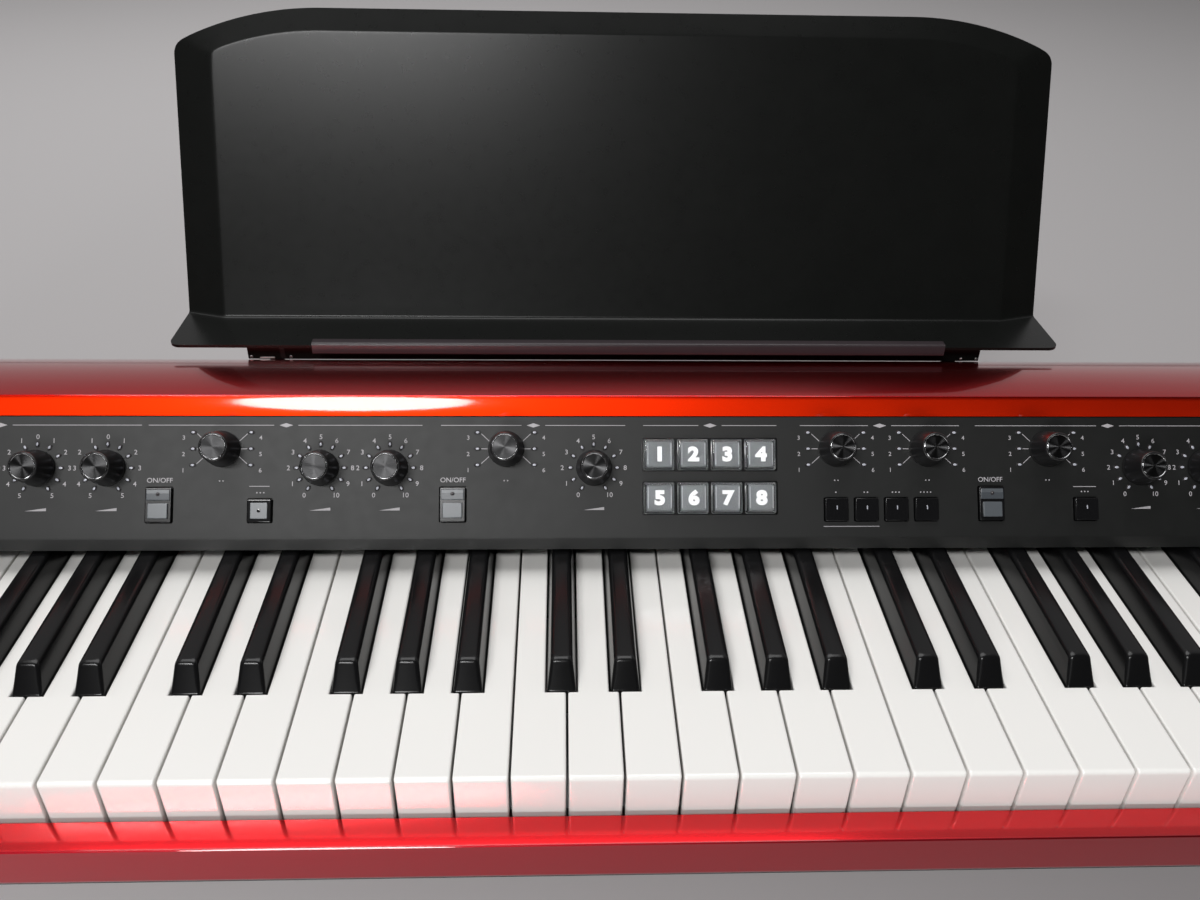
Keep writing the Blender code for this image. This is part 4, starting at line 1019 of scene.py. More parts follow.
@dataclass
class Studio:
    """The floor, the light and the camera at the photograph's place."""

    picture_width: int = 1200
    focal_pixels: float = 1030.08
    sensor: float = 36.0
    eye: tuple[float, float, float] = (-37.24, -433.27, 410.19)
    yaw: float = 2.474
    pitch: float = 32.624
    roll: float = 1.328
    floor_reach: float = 5.0
    floor_front: float = 1.1
    # The floor's colours carry painted light and shade: lit at the front left, shaded to the right and to the
    # rear.
    left_floor: Colour = (0.84, 0.80, 0.805)
    right_floor: Colour = (0.44, 0.415, 0.42)
    far_floor: Colour = (0.385, 0.372, 0.374)
    side_fall: tuple[float, float] = (-0.45, 0.4)
    rear_fall: tuple[float, float] = (-0.15, 0.3)
    surround: Colour = (1.0, 0.985, 0.99)
    dim: float = 0.02
    pale: float = 0.45
    lamps: tuple[Lamp, ...] = (
        Lamp("window", (-0.65, -2.54, 0.33), (-0.15, 0.0, 0.15), (0.68, 0.62), 25.0, "ELLIPSE"),
        Lamp("high_left", (-0.80, -1.90, 2.10), (-0.1, 0.0, 0.1), (1.38, 0.30), 41.0, "ELLIPSE"),
        Lamp("overhead", (-0.3, 0.35, 2.25), (-0.3, 0.34, 0.0), (2.0, 1.4), 32.0),
        Lamp("backdrop", (-0.6, 0.9, 1.8), (-0.5, 3.2, 1.0), (1.6, 0.6), 27.0),
    )

    def camera(self) -> None:
        """The camera: yaw turns it from +Y, pitch tips it down and roll turns the picture."""
        yaw, pitch, roll = (math.radians(v) for v in (self.yaw, self.pitch, self.roll))
        ahead = np.array([math.sin(yaw) * math.cos(pitch), math.cos(yaw) * math.cos(pitch), -math.sin(pitch)])
        level = np.cross(ahead, (0.0, 0.0, 1.0))
        level /= np.linalg.norm(level)
        above = np.cross(level, ahead)
        right = math.cos(roll) * level + math.sin(roll) * above
        up = -math.sin(roll) * level + math.cos(roll) * above
        data = bpy.data.cameras.new("camera")
        data.sensor_width = self.sensor
        data.lens = self.focal_pixels * self.sensor / self.picture_width
        data.clip_start = 0.01
        camera = linked("camera", data)
        stand(camera, right, up, -ahead, np.array(self.eye) * MM)
        bpy.context.scene.camera = camera

    def floor(self) -> None:
        """A pale matt floor whose colour falls off to the right and to the rear: painted shade for a soft
        shadow on the right and for the light's falloff at the rear.
        """
        reach = self.floor_reach
        front = -self.floor_front
        points = [(-reach, front, 0.0), (reach, front, 0.0), (reach, reach, 0.0), (-reach, reach, 0.0)]
        mesh = bpy.data.meshes.new("floor")
        mesh.from_pydata(points, [], [(0, 1, 2, 3)])
        recipe = Recipe("floor_painted_shade")
        # Painted shade: the near floor darkens to the right, and the far floor is darker still.
        rightward_shade = recipe.number(recipe.axis("X"), 0.0, 1.0, *self.side_fall)
        rearward_shade = recipe.number(recipe.axis("Y"), 0.0, 1.0, *self.rear_fall)
        near = recipe.colours(rightward_shade, self.left_floor, self.right_floor, 0.0, 1.0)
        shade = recipe.mixed(near, (*self.far_floor, 1.0), rearward_shade)
        mesh.materials.append(recipe.set(Base_Color=shade, Roughness=0.85, Specular_IOR_Level=0.2))
        linked("floor", mesh)

    def world(self) -> None:
        """A surround that is pale behind the piano and dim behind the viewer."""
        world = bpy.data.worlds.new("surround")
        nodes = Nodes(world)
        direction = nodes.node("SeparateXYZ", Vector=nodes.node("TexCoord").outputs["Generated"])
        spread = nodes.node("MapRange", Value=direction.outputs["Y"], From_Min=-0.35, From_Max=0.45,
                            To_Min=self.dim, To_Max=self.pale)
        spread.interpolation_type = "SMOOTHSTEP"
        nodes.wire(nodes.tree.nodes["Background"], Color=(*self.surround, 1.0),
                   Strength=spread.outputs["Result"])
        bpy.context.scene.world = world

    def build(self) -> None:
        """Set up the view and the light."""
        bpy.context.scene.view_settings.view_transform = "Standard"
        self.camera()
        self.floor()
        self.world()
        for lamp in self.lamps:
            lamp.hang()
        log.info("studio ready")


@dataclass
class Casework(Assembly):
    """The red shell, cheeks and rail, the steel tray and the feet."""

    half_keys: float = 505.25
    cheek_inner: float = 505.55
    cheek_outer: float = 571.5
    shell_wall: float = 3.0
    rail_wall: float = 3.0
    rail_lean: float = 2.7
    rail_facet: float = 0.6
    rail_facet_angle: float = 30.0
    rail_base_facet: float = 1.6
    rail_base_angle: float = -20.0
    panel_tilt: float = 53.0
    crest_back: float = 14.3
    crest_rise: float = 1.15
    crest_radius: float = 89.3
    crest_turn: float = 27.7
    crease: tuple[float, float] = (18.31, 153.12)
    crease_round: float = 0.9
    face_bulge: float = 0.16
    front_edge: tuple[float, float] = (15.51, 143.11)
    rail_return: float = 13.5
    tray_setback: float = 20.5
    cheek_round: float = 9.0
    cheek_wall: float = 3.5
    cheek_flat: tuple[float, float] = (-60.0, 83.5)
    cheek_slope: float = 71.4
    cheek_nose: tuple[float, float] = (11.0, 16.0)
    cheek_front_ease: float = 60.0
    cheek_rear_ease: float = 15.0
    cheek_bend: float = 13.3
    hollow_setback: float = 18.5
    hollow_top: float = 70.5
    pin_radius: float = 4.4
    pin_inset: float = 12.0
    screw_radius: float = 3.2

    def __post_init__(self) -> None:
        """Read the places that the frame holds."""
        self.shell_low, self.shell_high = node_box("rear_shell")
        self.rail_low, self.rail_high = node_box("front_rail")
        self.tray_low, self.tray_high = node_box("base_tray")
        self.crest = (self.crease[0] + self.crest_back, self.crease[1] + self.crest_rise)

    def shell_line(self, rounded: bool = True) -> Array:
        """The shell's outer line in Y and Z: front face, crest, an arc, and a curve to the rear.

        Args:
            rounded: True if the front face bulges on a parabola and the crease gets its small round.

        Returns:
            Rows of Y and Z.
        """
        start = np.array([self.crease])
        first = (self.crease[0] + self.crest_back / 3, self.crease[1] + self.crest_rise * 2 / 3)
        rise = bezier(self.crease, first, (self.crest[0] - self.crest_back / 3, self.crest[1]), self.crest, 12)
        crest = arc((self.crest[0], self.crest[1] - self.crest_radius), self.crest_radius,
                    90.0, 90.0 - self.crest_turn, 14)[1:]
        last = crest[-1]
        end = (self.shell_high[1], self.shell_low[2])
        reach = (end[0] - last[0]) * 0.45
        turn = math.radians(self.crest_turn)
        handle = (last[0] + reach * math.cos(turn), last[1] - reach * math.sin(turn))
        rear = bezier(last, handle, (end[0], end[1] + (last[1] - end[1]) * 0.4), end, 28)
        line = np.concatenate([start, rise, crest, rear])
        if rounded:
            up = np.subtract(self.crease, self.front_edge)
            out = np.array([-up[1], up[0]]) / np.linalg.norm(up)
            share = np.linspace(0, 1, 13)[:, None]
            face = np.array(self.front_edge) + share * up + 4 * share * (1 - share) * self.face_bulge * out
            corner = filleted([face[-3], self.crease, rise[2]], [0, self.crease_round, 0], 8, False)
            line = np.concatenate([face[:-3], corner, rise[3:], crest, rear])
        return line

    def cheek_line(self) -> Array:
        """A cheek's side view in Y and Z, from its lower front corner round to the rear."""
        ridge = (self.rail_low[1] + self.rail_lean, self.rail_high[2])
        tray = (self.rail_low[1] + self.tray_setback, self.tray_low[2])
        tilt = math.radians(self.panel_tilt)
        slope = np.array([math.cos(tilt), math.sin(tilt)])
        foot = np.array(self.crease) - self.cheek_slope * slope
        flat = np.array(self.cheek_flat)
        start = [tray, (tray[0], self.rail_low[2]), (self.rail_low[1], self.rail_low[2]), ridge]
        nose = (ridge[0] + self.cheek_nose[0], ridge[1] + self.cheek_nose[1])
        rise = bezier(ridge, nose, (flat[0] - self.cheek_front_ease, flat[1]), flat, 24)
        eased = (flat[0] + self.cheek_rear_ease, flat[1])
        bend = bezier(flat, eased, foot - self.cheek_bend * slope, foot, 14)
        end = [(self.shell_high[1], tray[1])]
        return np.concatenate([start, rise, bend, self.shell_line(False), end])

    def cheek(self, side: Side) -> None:
        """An end cheek: the side view carried outwards and drawn in round its outer edge.

        Args:
            side: Which end it closes.
        """
        line = self.cheek_line()
        sign = side.value
        rings = [np.column_stack([np.full(len(line), sign * self.cheek_inner), line])]
        for turn in np.radians(np.linspace(0, 90, 9)):
            x = self.cheek_outer - self.cheek_round * (1 - math.sin(turn))
            inset = shifted(line, self.cheek_round * (1 - math.cos(turn)), True)
            rings.append(np.column_stack([np.full(len(line), sign * x), inset]))
        hollow_front = self.rail_low[1] + self.tray_setback + self.hollow_setback
        hollow_low = np.array([self.cheek_inner + self.cheek_wall, hollow_front, -1.0])
        edge = self.cheek_round + self.cheek_wall
        hollow_high = np.array([self.cheek_outer - edge, self.shell_high[1] - edge, self.hollow_top])
        size = hollow_high - hollow_low
        middle = (hollow_low + hollow_high) / 2
        hollow = slab(size[0], size[1], hollow_low[2], hollow_high[2], 3.0, 1.0)
        end = side.name.lower()
        self.shop.piece(end + "_cheek_moulding", loft(np.stack(rings)), Finish.LACQUER, CABINET,
                        [end + "_end_cheek"], 30.0, [hollow.moved((sign * middle[0], middle[1], 0.0))], 0.5)

    def pin_holes(self) -> list[Surface]:
        """The two holes in the shell for the desk bracket's pins."""
        low, high = node_box("stand_bracket")
        hole = barrel(self.pin_radius, 100.0, 175.0)
        y = high[1] - self.pin_inset + 2.0
        return [hole.moved((x, y, 0.0)) for x in (low[0] + self.pin_inset, high[0] - self.pin_inset)]

    def build(self) -> None:
        """Make the casework."""
        sheet = along_x(bent_sheet(self.shell_line(), self.shell_wall), -self.half_keys, self.half_keys)
        self.shop.piece("shell_pressing", sheet, Finish.LACQUER, CABINET, ["rear_shell"], 30.0,
                        self.pin_holes(), 0.35)
        for side in Side:
            self.cheek(side)
        self.rail()
        self.shop.cast("base_tray", "tray_pressing", Finish.STEEL, 0.5)
        self.feet()
        log.info("casework ready")

    def rail(self) -> None:
        """The front rail: its ridge and its foot are each broken by a narrow facet."""
        ridge = (self.rail_low[1] + self.rail_lean, self.rail_high[2])
        front, foot = self.rail_low[1:]
        lean = self.rail_lean / (self.rail_high[2] - foot)
        low = np.array([front + lean * self.rail_base_facet, foot + self.rail_base_facet])
        under = low - self.rail_base_facet * np.array([math.tan(math.radians(self.rail_base_angle)), 1.0])
        high = np.array(ridge) - self.rail_facet * np.array([lean, 1.0])
        over = high + self.rail_facet * np.array([math.tan(math.radians(self.rail_facet_angle)), 1.0])
        corners = [(front + self.rail_return, foot), under, low, high, over, tuple(self.rail_high[1:])]
        line = filleted(corners, [0, 0.3, 0.25, 0.12, 0.12, 0], 4, False)
        sheet = along_x(bent_sheet(line, self.rail_wall), -self.half_keys, self.half_keys)
        self.shop.piece("rail_extrusion", sheet, Finish.RAIL, CABINET, ["front_rail"], 30.0, (), 0.3)

    def feet(self) -> None:
        """Four rubber feet with a countersunk screw in each."""
        for node in FEET:
            low, high = node_box(node)
            radius = (high[0] - low[0]) / 2
            place = ((low[0] + high[0]) / 2, (low[1] + high[1]) / 2, 0.0)
            pad = lathe([(0, 3.0), (3.6, 3.0), (4.4, 0.0), (radius - 1.6, 0.0), (radius, 1.6),
                         (radius - 0.4, high[2]), (0, high[2])], [0, 0.4, 0.5, 0.8, 0.8, 0.3, 0], 48)
            self.shop.piece(node + "_pad", pad.moved(place), Finish.RUBBER, CABINET, [node])
            screw = lathe([(0, 1.6), (self.screw_radius, 1.6), (self.screw_radius, 2.9), (0, 2.9)],
                          [0, 0.5, 0, 0], 32)
            self.shop.piece(node + "_screw", screw.moved(place), Finish.SCREW)


@dataclass
class Keyboard(Assembly):
    """Seventy-three keys, each a piece of its own that rides on its bank."""

    pitch: float = 23.5
    count: int = 43
    gap: float = 1.0
    letters: str = "efgabcd"
    nose_round: float = 1.7
    side_round: float = 0.75
    top_round: float = 0.9
    lip_depth: float = 3.0
    lip_drop: float = 25.0
    thickness: float = 14.0
    visible: float = 152.0
    tail_drop: float = 3.0
    tail_end: float = 14.0
    pivot_drop: float = 20.0
    black_base: float = 13.0
    black_top: float = 9.5
    black_tail: float = 11.0
    black_height: float = 12.0
    black_front: float = 48.0
    black_slope: float = 8.0
    side_gap: float = 0.75
    rod_notch: float = 3.45
    boss_half: float = 6.0

    def __post_init__(self) -> None:
        """Read the keys' places from the frame."""
        low, high = node_box("white_key_e4")
        self.front = low[1]
        self.top = high[2]
        self.pivot_y = high[1] - self.tail_end
        self.pivot_z = self.top - self.pivot_drop
        self.offsets = {"f": -3.2, "g": 0.0, "a": 3.2, "c": -2.4, "d": 2.4}

    def middle(self, index: int) -> float:
        """The X of a white key's middle."""
        return (index - self.count // 2) * self.pitch

    def black_middle(self, index: int) -> Optional[float]:
        """Where the black key to the right of a white key stands.

        Args:
            index: The white key's number from the left.

        Returns:
            The X of its middle, or None where there is no black key.
        """
        letter = self.letters[index % 7]
        if letter not in self.offsets or not 0 <= index < self.count - 1:
            return None
        return self.middle(index) + self.pitch / 2 + self.offsets[letter]

    def note(self, index: int) -> str:
        """A white key's note name."""
        return "%s%d" % (self.letters[index % 7], 1 + (index + 2) // 7)

    def white(self, index: int) -> Surface:
        """A white key: a rounded section whose four bounds change from station to station.

        Along the nose the front and the top draw in on a quarter circle. Behind it the
        lip ends, the sides step in beside the black keys, the top steps down under the
        panel, and the underside follows the pivot rod's circle.

        Args:
            index: The white key's number from the left.

        Returns:
            The closed key.
        """
        middle = self.middle(index)
        half = (self.pitch - self.gap) / 2
        room = self.black_base / 2 + self.side_gap
        left_black = self.black_middle(index - 1)
        right_black = self.black_middle(index)
        narrow_left = middle - half if left_black is None else left_black + room
        narrow_right = middle + half if right_black is None else right_black - room
        turn = np.radians(np.linspace(0, 90, 8))
        step = 0.02
        hidden = self.front + self.visible
        notch = self.front + self.black_front - self.side_gap
        rod = np.radians(np.linspace(180, 0, 13))
        y = np.concatenate([
            [self.front], self.front + self.nose_round * (1 - np.cos(turn)),
            self.front + np.array([self.nose_round + 0.5, self.lip_depth, self.lip_depth + step]),
            [notch, notch + step, hidden, hidden + step, self.pivot_y - self.boss_half,
             self.pivot_y - self.boss_half + step],
            self.pivot_y + self.rod_notch * np.cos(rod),
            self.pivot_y + np.array([self.boss_half, self.boss_half + step, self.tail_end]),
        ])
        count = len(y)
        nose = 1 + len(turn)
        draw = np.zeros(count)
        draw[0] = self.side_round + 0.6
        draw[1:nose] = self.side_round * (1 - np.sin(turn))
        top = np.full(count, self.top)
        top[0] = self.top - self.nose_round - 0.6
        top[1:nose] = self.top - self.nose_round * (1 - np.sin(turn))
        top[y > hidden + step / 2] = self.top - self.tail_drop
        low = np.full(count, self.top - self.thickness)
        low[y < self.front + self.lip_depth + step / 2] = self.top - self.lip_drop
        low[:nose] += draw[:nose]
        near = np.abs(y - self.pivot_y) < self.boss_half - step / 2
        arch = np.maximum(self.rod_notch ** 2 - (y[near] - self.pivot_y) ** 2, 0.0)
        low[near] = self.pivot_z + np.sqrt(arch)
        low[np.abs(np.abs(y - self.pivot_y) - self.boss_half) < step * 0.6] = self.pivot_z
        low[y > self.pivot_y + self.boss_half + step / 2] = self.top - self.thickness
        low[np.abs(y - (self.pivot_y - self.boss_half)) < step / 4] = self.top - self.thickness
        back = y > notch + step / 2
        left = np.where(back, narrow_left, middle - half) + draw
        right = np.where(back, narrow_right, middle + half) - draw
        return self.sectioned(y, left, right, low, top)

    def sectioned(self, y: Array, left: Array, right: Array, low: Array, top: Array) -> Surface:
        """A skin through sections with square lower and rounded upper corners.

        Args:
            y: Each section's place.
            left: Its left bound.
            right: Its right bound.
            low: Its lower bound.
            top: Its upper bound.

        Returns:
            The closed skin.
        """
        turn = np.radians(np.linspace(0, 90, 6))
        round_in = self.top_round * (1 - np.cos(turn))
        round_down = self.top_round * (1 - np.sin(turn))
        inset = np.concatenate([[0.0, 0.0], round_in, [self.top_round + 0.4]])
        drop = np.concatenate([[0.0, self.top_round + 0.4], round_down, [0.0]])
        inset = np.concatenate([inset, inset[::-1]])
        drop = np.concatenate([drop, drop[::-1]])
        count = len(inset)
        on_right = np.arange(count) < count // 2
        at_base = (np.arange(count) == 0) | (np.arange(count) == count - 1)
        x = np.where(on_right, right[:, None] - inset, left[:, None] + inset)
        z = np.where(at_base, low[:, None], top[:, None] - drop)
        rings = np.stack([x, np.broadcast_to(y[:, None], x.shape), z], -1)
        return loft(rings)

    def lean(self, height: Array, outer: float, slope: float, radius: float) -> Array:
        """How far out a sloping side stands at a height, with a round to the flat top.

        The side is a straight line up to where a circle of the radius touches it, and
        that circle from there on.

        Args:
            height: Heights above the white keys.
            outer: How far out the side stands at its foot.
            slope: How far it leans in over the key's height.
            radius: The round's radius.

        Returns:
            The distance out at each height.
        """
        angle = math.atan2(slope, self.black_height)
        at_top = outer - slope
        centre = at_top + radius * (1 - math.sin(angle)) * math.tan(angle) - radius * math.cos(angle)
        above = height - (self.black_height - radius)
        line = outer - slope * height / self.black_height
        circle = centre + np.sqrt(np.maximum(radius ** 2 - above ** 2, 0.0))
        return np.where(above > radius * math.sin(angle), circle, line)

    def black(self, middle: float) -> Surface:
        """A black key's head: rounded rectangles that lean in as they rise.

        Args:
            middle: The X of its middle.

        Returns:
            The closed head.
        """
        radius = 2.6
        turn = np.radians(np.linspace(4, 90, 10))
        upper = self.black_height - radius + radius * np.sin(turn)
        height = np.concatenate([[-self.thickness, -0.4, 0.0, 0.5, 4.0], upper[upper > 4.2]])
        foot = np.clip(height, 0.0, None)
        half = self.lean(foot, self.black_base / 2, (self.black_base - self.black_top) / 2, radius)
        nose = self.lean(foot, 0.0, self.black_slope, 3.4)
        rear = self.front + self.visible
        rings = []
        for z, half_width, forward in zip(height, half, nose):
            front = self.front + self.black_front - forward
            corner = 1.4 if z <= 0.5 else 1.9
            shape = filleted([(half_width, front), (half_width, rear),
                              (-half_width, rear), (-half_width, front)], [corner, 0.3, 0.3, corner], 5)
            rings.append(np.column_stack([shape + (middle, 0.0), np.full(len(shape), self.top + z)]))
        return loft(np.stack(rings))

    def black_tail_part(self, middle: float) -> Surface:
        """A black key's tail under the panel, with its boss over the rod.

        Args:
            middle: The X of its middle.

        Returns:
            The closed tail.
        """
        rod = np.radians(np.linspace(180, 0, 13))
        start = self.front + self.visible - 1.0
        end = self.pivot_y + 4.0
        under = self.top - self.thickness
        y = np.concatenate([[start, self.pivot_y - self.boss_half], [self.pivot_y - self.boss_half + 0.02],
                            self.pivot_y + self.rod_notch * np.cos(rod), [end]])
        low = np.concatenate([[under, under, self.pivot_z], self.pivot_z + self.rod_notch * np.sin(rod),
                              [self.pivot_z]])
        side = np.full(len(y), self.black_tail / 2)
        return self.sectioned(y, middle - side, middle + side, low, np.full(len(y), self.top + 6.0))

    def build(self) -> None:
        """Make every key."""
        single = self.count // 2
        banks = {"white_keys_low": [], "white_keys_high": [], "black_keys_low": [], "black_keys_high": []}
        for index in range(self.count):
            half = "low" if index < single else "high"
            own = index in (single - 1, single)
            body = "white_key_" + self.note(index) if own else "white_keys_" + half
            key = self.shop.piece("white_" + self.note(index), self.white(index), Finish.WHITE_KEY, body)
            banks.setdefault(body, []).append(key)
            middle = self.black_middle(index)
            if middle is None:
                continue
            body = "black_key_d_sharp4" if index == single - 1 else "black_keys_" + half
            name = "black_%s_sharp%s" % (self.note(index)[0], self.note(index)[1:])
            surface = joined([self.black(middle), self.black_tail_part(middle)])
            key = self.shop.piece(name, surface, Finish.BLACK_KEY, body, crease=40.0)
            banks.setdefault(body, []).append(key)
        for node, keys in banks.items():
            for key in keys:
                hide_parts(node)
        for node, finish in (("keybed_frame", Finish.ZINC), ("key_contact_board", Finish.BOARD)):
            self.shop.dress(node, finish)
        log.info("keyboard ready")


class Lettering:
    """Plain figures as solid shapes, each made once and then placed as often as needed."""

    def __init__(self) -> None:
        """Start with no figure made."""
        self.made: dict[tuple[str, float], Surface] = {}

    def figure(self, text: str, weight: float = 0.0) -> Surface:
        """A text one unit high, around the origin, with a thickness of one unit.

        Args:
            text: What it says.
            weight: How far its strokes are thickened.

        Returns:
            The closed figure.
        """
        key = (text, weight)
        if key not in self.made:
            curve = bpy.data.curves.new("figure", "FONT")
            curve.body = text
            curve.align_x = "CENTER"
            curve.extrude = 0.5
            curve.offset = weight
            curve.resolution_u = 4
            item = bpy.data.objects.new("figure", curve)
            bpy.context.scene.collection.objects.link(item)
            evaluated = item.evaluated_get(bpy.context.evaluated_depsgraph_get())
            mesh = bpy.data.meshes.new_from_object(evaluated)
            work = bmesh.new()
            work.from_mesh(mesh)
            bmesh.ops.remove_doubles(work, verts=work.verts, dist=1e-5)
            bmesh.ops.triangulate(work, faces=work.faces)
            bmesh.ops.recalc_face_normals(work, faces=work.faces)
            work.verts.ensure_lookup_table()
            points = np.array([vertex.co[:] for vertex in work.verts])
            caps = [tuple(vertex.index for vertex in face.verts) for face in work.faces]
            work.free()
            bpy.data.objects.remove(item)
            bpy.data.meshes.remove(mesh)
            cap_height = 0.70
            points[:, 1] = points[:, 1] / cap_height - 0.5
            points[:, 0] /= cap_height
            self.made[key] = Surface(points, np.empty((0, 4), int), caps)
        return self.made[key]

    def print_at(self, text: str, x: float, y: float, height: float, low: float, high: float,
                 weight: float = 0.0, width: float = 1.0) -> Surface:
        """A text lying flat at a place.

        Args:
            text: What it says.
            x: Its middle along X.
            y: Its middle along Y.
            height: The height of its figures.
            low: The height of its underside.
            high: The height of its face.
            weight: How far its strokes are thickened.
            width: How wide it is for its height.

        Returns:
            The closed figure.
        """
        shape = self.figure(text, weight)
        points = shape.points * (height * width, height, high - low) + (x, y, (low + high) / 2)
        return Surface(points, shape.quads, shape.caps)


class Scale(Enum):
    """What is printed round a knob."""

    ZERO_TO_TEN = "0 1 2 3 4 5 6 7 8 9 10"
    BOTH_WAYS = "5 4 3 2 1 0 1 2 3 4 5"
    SIX_PLACES = "3 2 1 4 5 6"


@dataclass
class Control:
    """A knob on the panel and what is printed round it."""

    node: str
    x: float
    row: float
    scale: Scale
    lamps: bool = True


@dataclass
class ControlPanel(Assembly):
    """The sloping panel with its knobs, buttons, lamps and print."""

    tilt: float = 53.0
    foot: tuple[float, float] = (-21.5, 94.1)
    lip: tuple[float, float] = (-22.5, 87.5)
    length: float = 61.0
    wall: float = 2.0
    fold: float = 2.4
    half_keys: float = 505.25
    ring_row: float = 35.2
    selector_row: float = 44.7
    rule_row: float = 56.6
    switch_row: float = 16.7
    small_row: float = 13.8
    ring_radius: float = 11.8
    figure_radius: float = 15.6
    figure_height: float = 2.35
    ink_low: float = -0.02
    ink_high: float = 0.045
    line_width: float = 0.32
    dot_radius: float = 0.38
    dot_pitch: float = 1.7
    rule_gap: float = 6.0
    wedge_half: tuple[float, float] = (5.2, 0.75)
    lozenge_half: tuple[float, float] = (3.4, 1.1)
    lamp_size: tuple[float, float] = (0.95, 1.5)
    switch_hole: tuple[float, float] = (13.6, 18.0)
    small_hole: tuple[float, float] = (12.6, 12.2)
    favourite_hole: tuple[float, float] = (15.8, 16.0)
    clearance: float = 0.4
    hole_corner: float = 0.9
    shaft_hole: float = 3.6
    favourite_middle: float = 37.3
    favourite_pitch: float = 17.15
    favourite_rows: tuple[float, float] = (41.8, 19.8)
    joystick: tuple[float, float] = (-455.0, 30.0)
    joystick_depth: float = 9.0
    ball_radius: float = 11.5
    lug_gap: float = 4.3
    lug_width: float = 2.5
    board_depth: float = 14.0
    cap_dish: float = 0.10
    selector_rises: tuple[float, float, float] = (8.3, 0.05, -8.1)
    selector_lamp: float = 14.3
    selector_line: float = 9.3
    selector_figure: float = 19.0

    def __post_init__(self) -> None:
        """Name every control and its place on the panel."""
        ten, both, six = Scale
        rows = (("volume", -400.0, ten), ("eq_bass", -331.8, both), ("eq_mid", -297.4, both),
                ("eq_treble", -263.1, both), ("pre_effect_type", -207.0, six),
                ("pre_effect_speed", -158.2, ten), ("pre_effect_intensity", -123.8, ten),
                ("amp_type", -65.7, six), ("amp_drive", -21.5, ten),
                ("sound_type", 102.0, six), ("sound_variation", 148.9, six), ("modulation_type", 211.2, six),
                ("modulation_speed", 259.3, ten), ("modulation_intensity", 293.7, ten),
                ("reverb_type", 358.0, six), ("reverb_depth", 402.0, ten))
        heights = {ten: self.ring_row, both: self.ring_row, six: self.selector_row}
        self.controls = [Control(name + "_knob", x, heights[scale], scale, name != "volume")
                         for name, x, scale in rows]
        self.switches = {"eq_switch": -366.0, "pre_effect_switch": -237.2, "amp_switch": -92.2,
                         "modulation_switch": 181.4, "reverb_switch": 331.0}
        self.small = {"auto_pedal_button": -187.7, "slow_fast_button": 230.4}
        self.functions = (101.6, 117.0, 132.4, 147.8)
        angle = math.radians(self.tilt)
        self.turn = np.array([[1, 0, 0], [0, math.cos(angle), -math.sin(angle)],
                              [0, math.sin(angle), math.cos(angle)]])
        self.letters = Lettering()

    def laid(self, surface: Surface) -> Surface:
        """A surface in the panel's own axes (X, up the face, out of it) put in its place."""
        return surface.mapped(self.turn, (0.0, *self.foot))

    def favourite_places(self) -> list[tuple[int, float, float]]:
        """Each favourite button's number and middle."""
        return [
            (row * 4 + column + 1, self.favourite_middle + (column - 1.5) * self.favourite_pitch, height)
            for row, height in enumerate(self.favourite_rows) for column in range(4)
        ]

    def face(self) -> None:
        """The bent steel panel, cut out for every control."""
        top = (self.foot[0] + self.length * math.cos(math.radians(self.tilt)),
               self.foot[1] + self.length * math.sin(math.radians(self.tilt)))
        line = filleted([self.lip, self.foot, top], [0, self.fold, 0], 6, False)
        holes = [(x, self.switch_row, *self.switch_hole) for x in self.switches.values()]
        holes += [(x, self.small_row, *self.small_hole) for x in (*self.small.values(), *self.functions)]
        holes += [(x, row, *self.favourite_hole) for _, x, row in self.favourite_places()]
        under = -self.wall - 1
        cuts = [plate_of(oblong(width, depth, self.hole_corner) + (x, row), under, 1)
                for x, row, width, depth in holes]
        cuts += [barrel(self.shaft_hole, under, 1).moved((control.x, control.row, 0))
                 for control in self.controls]
        cuts.append(barrel(self.ball_reach() + 0.4, under, 1, 64).moved((*self.joystick, 0)))
        sheet = along_x(bent_sheet(line, self.wall), -self.half_keys, self.half_keys)
        self.shop.piece("panel_pressing", sheet, Finish.PANEL, CABINET, ["control_panel"], 30.0,
                        [self.laid(cut) for cut in cuts], 0.18)
        beside = self.ball_radius + self.lug_gap + self.lug_width / 2
        lugs = [slab(self.lug_width, 8.0, -12.0, -self.wall + 0.1, 0.4, 0.05).moved((side * beside, 0, 0))
                for side in (-1, 1)]
        self.put("joystick_lugs", joined(lugs), Finish.PANEL, CABINET, (*self.joystick, 0))

    def ball_reach(self) -> float:
        """How far the joystick's ball stands out sideways at the panel's underside."""
        return math.sqrt(self.ball_radius ** 2 - (self.joystick_depth - self.wall) ** 2)

    def put(self, name: str, surface: Surface, finish: Finish, body: str,
            place: Sequence[float] = (0.0, 0.0, 0.0), **rest: object) -> None:
        """Make a piece that is given in the panel's own axes.

        Args:
            name: The piece's name.
            surface: Its surface, around its own origin.
            finish: What it is made of.
            body: The body it rides on.
            place: Where its origin lies on the panel.
            rest: What else the workshop is told.
        """
        self.shop.piece(name, self.laid(surface.moved(place)), finish, body, **rest)

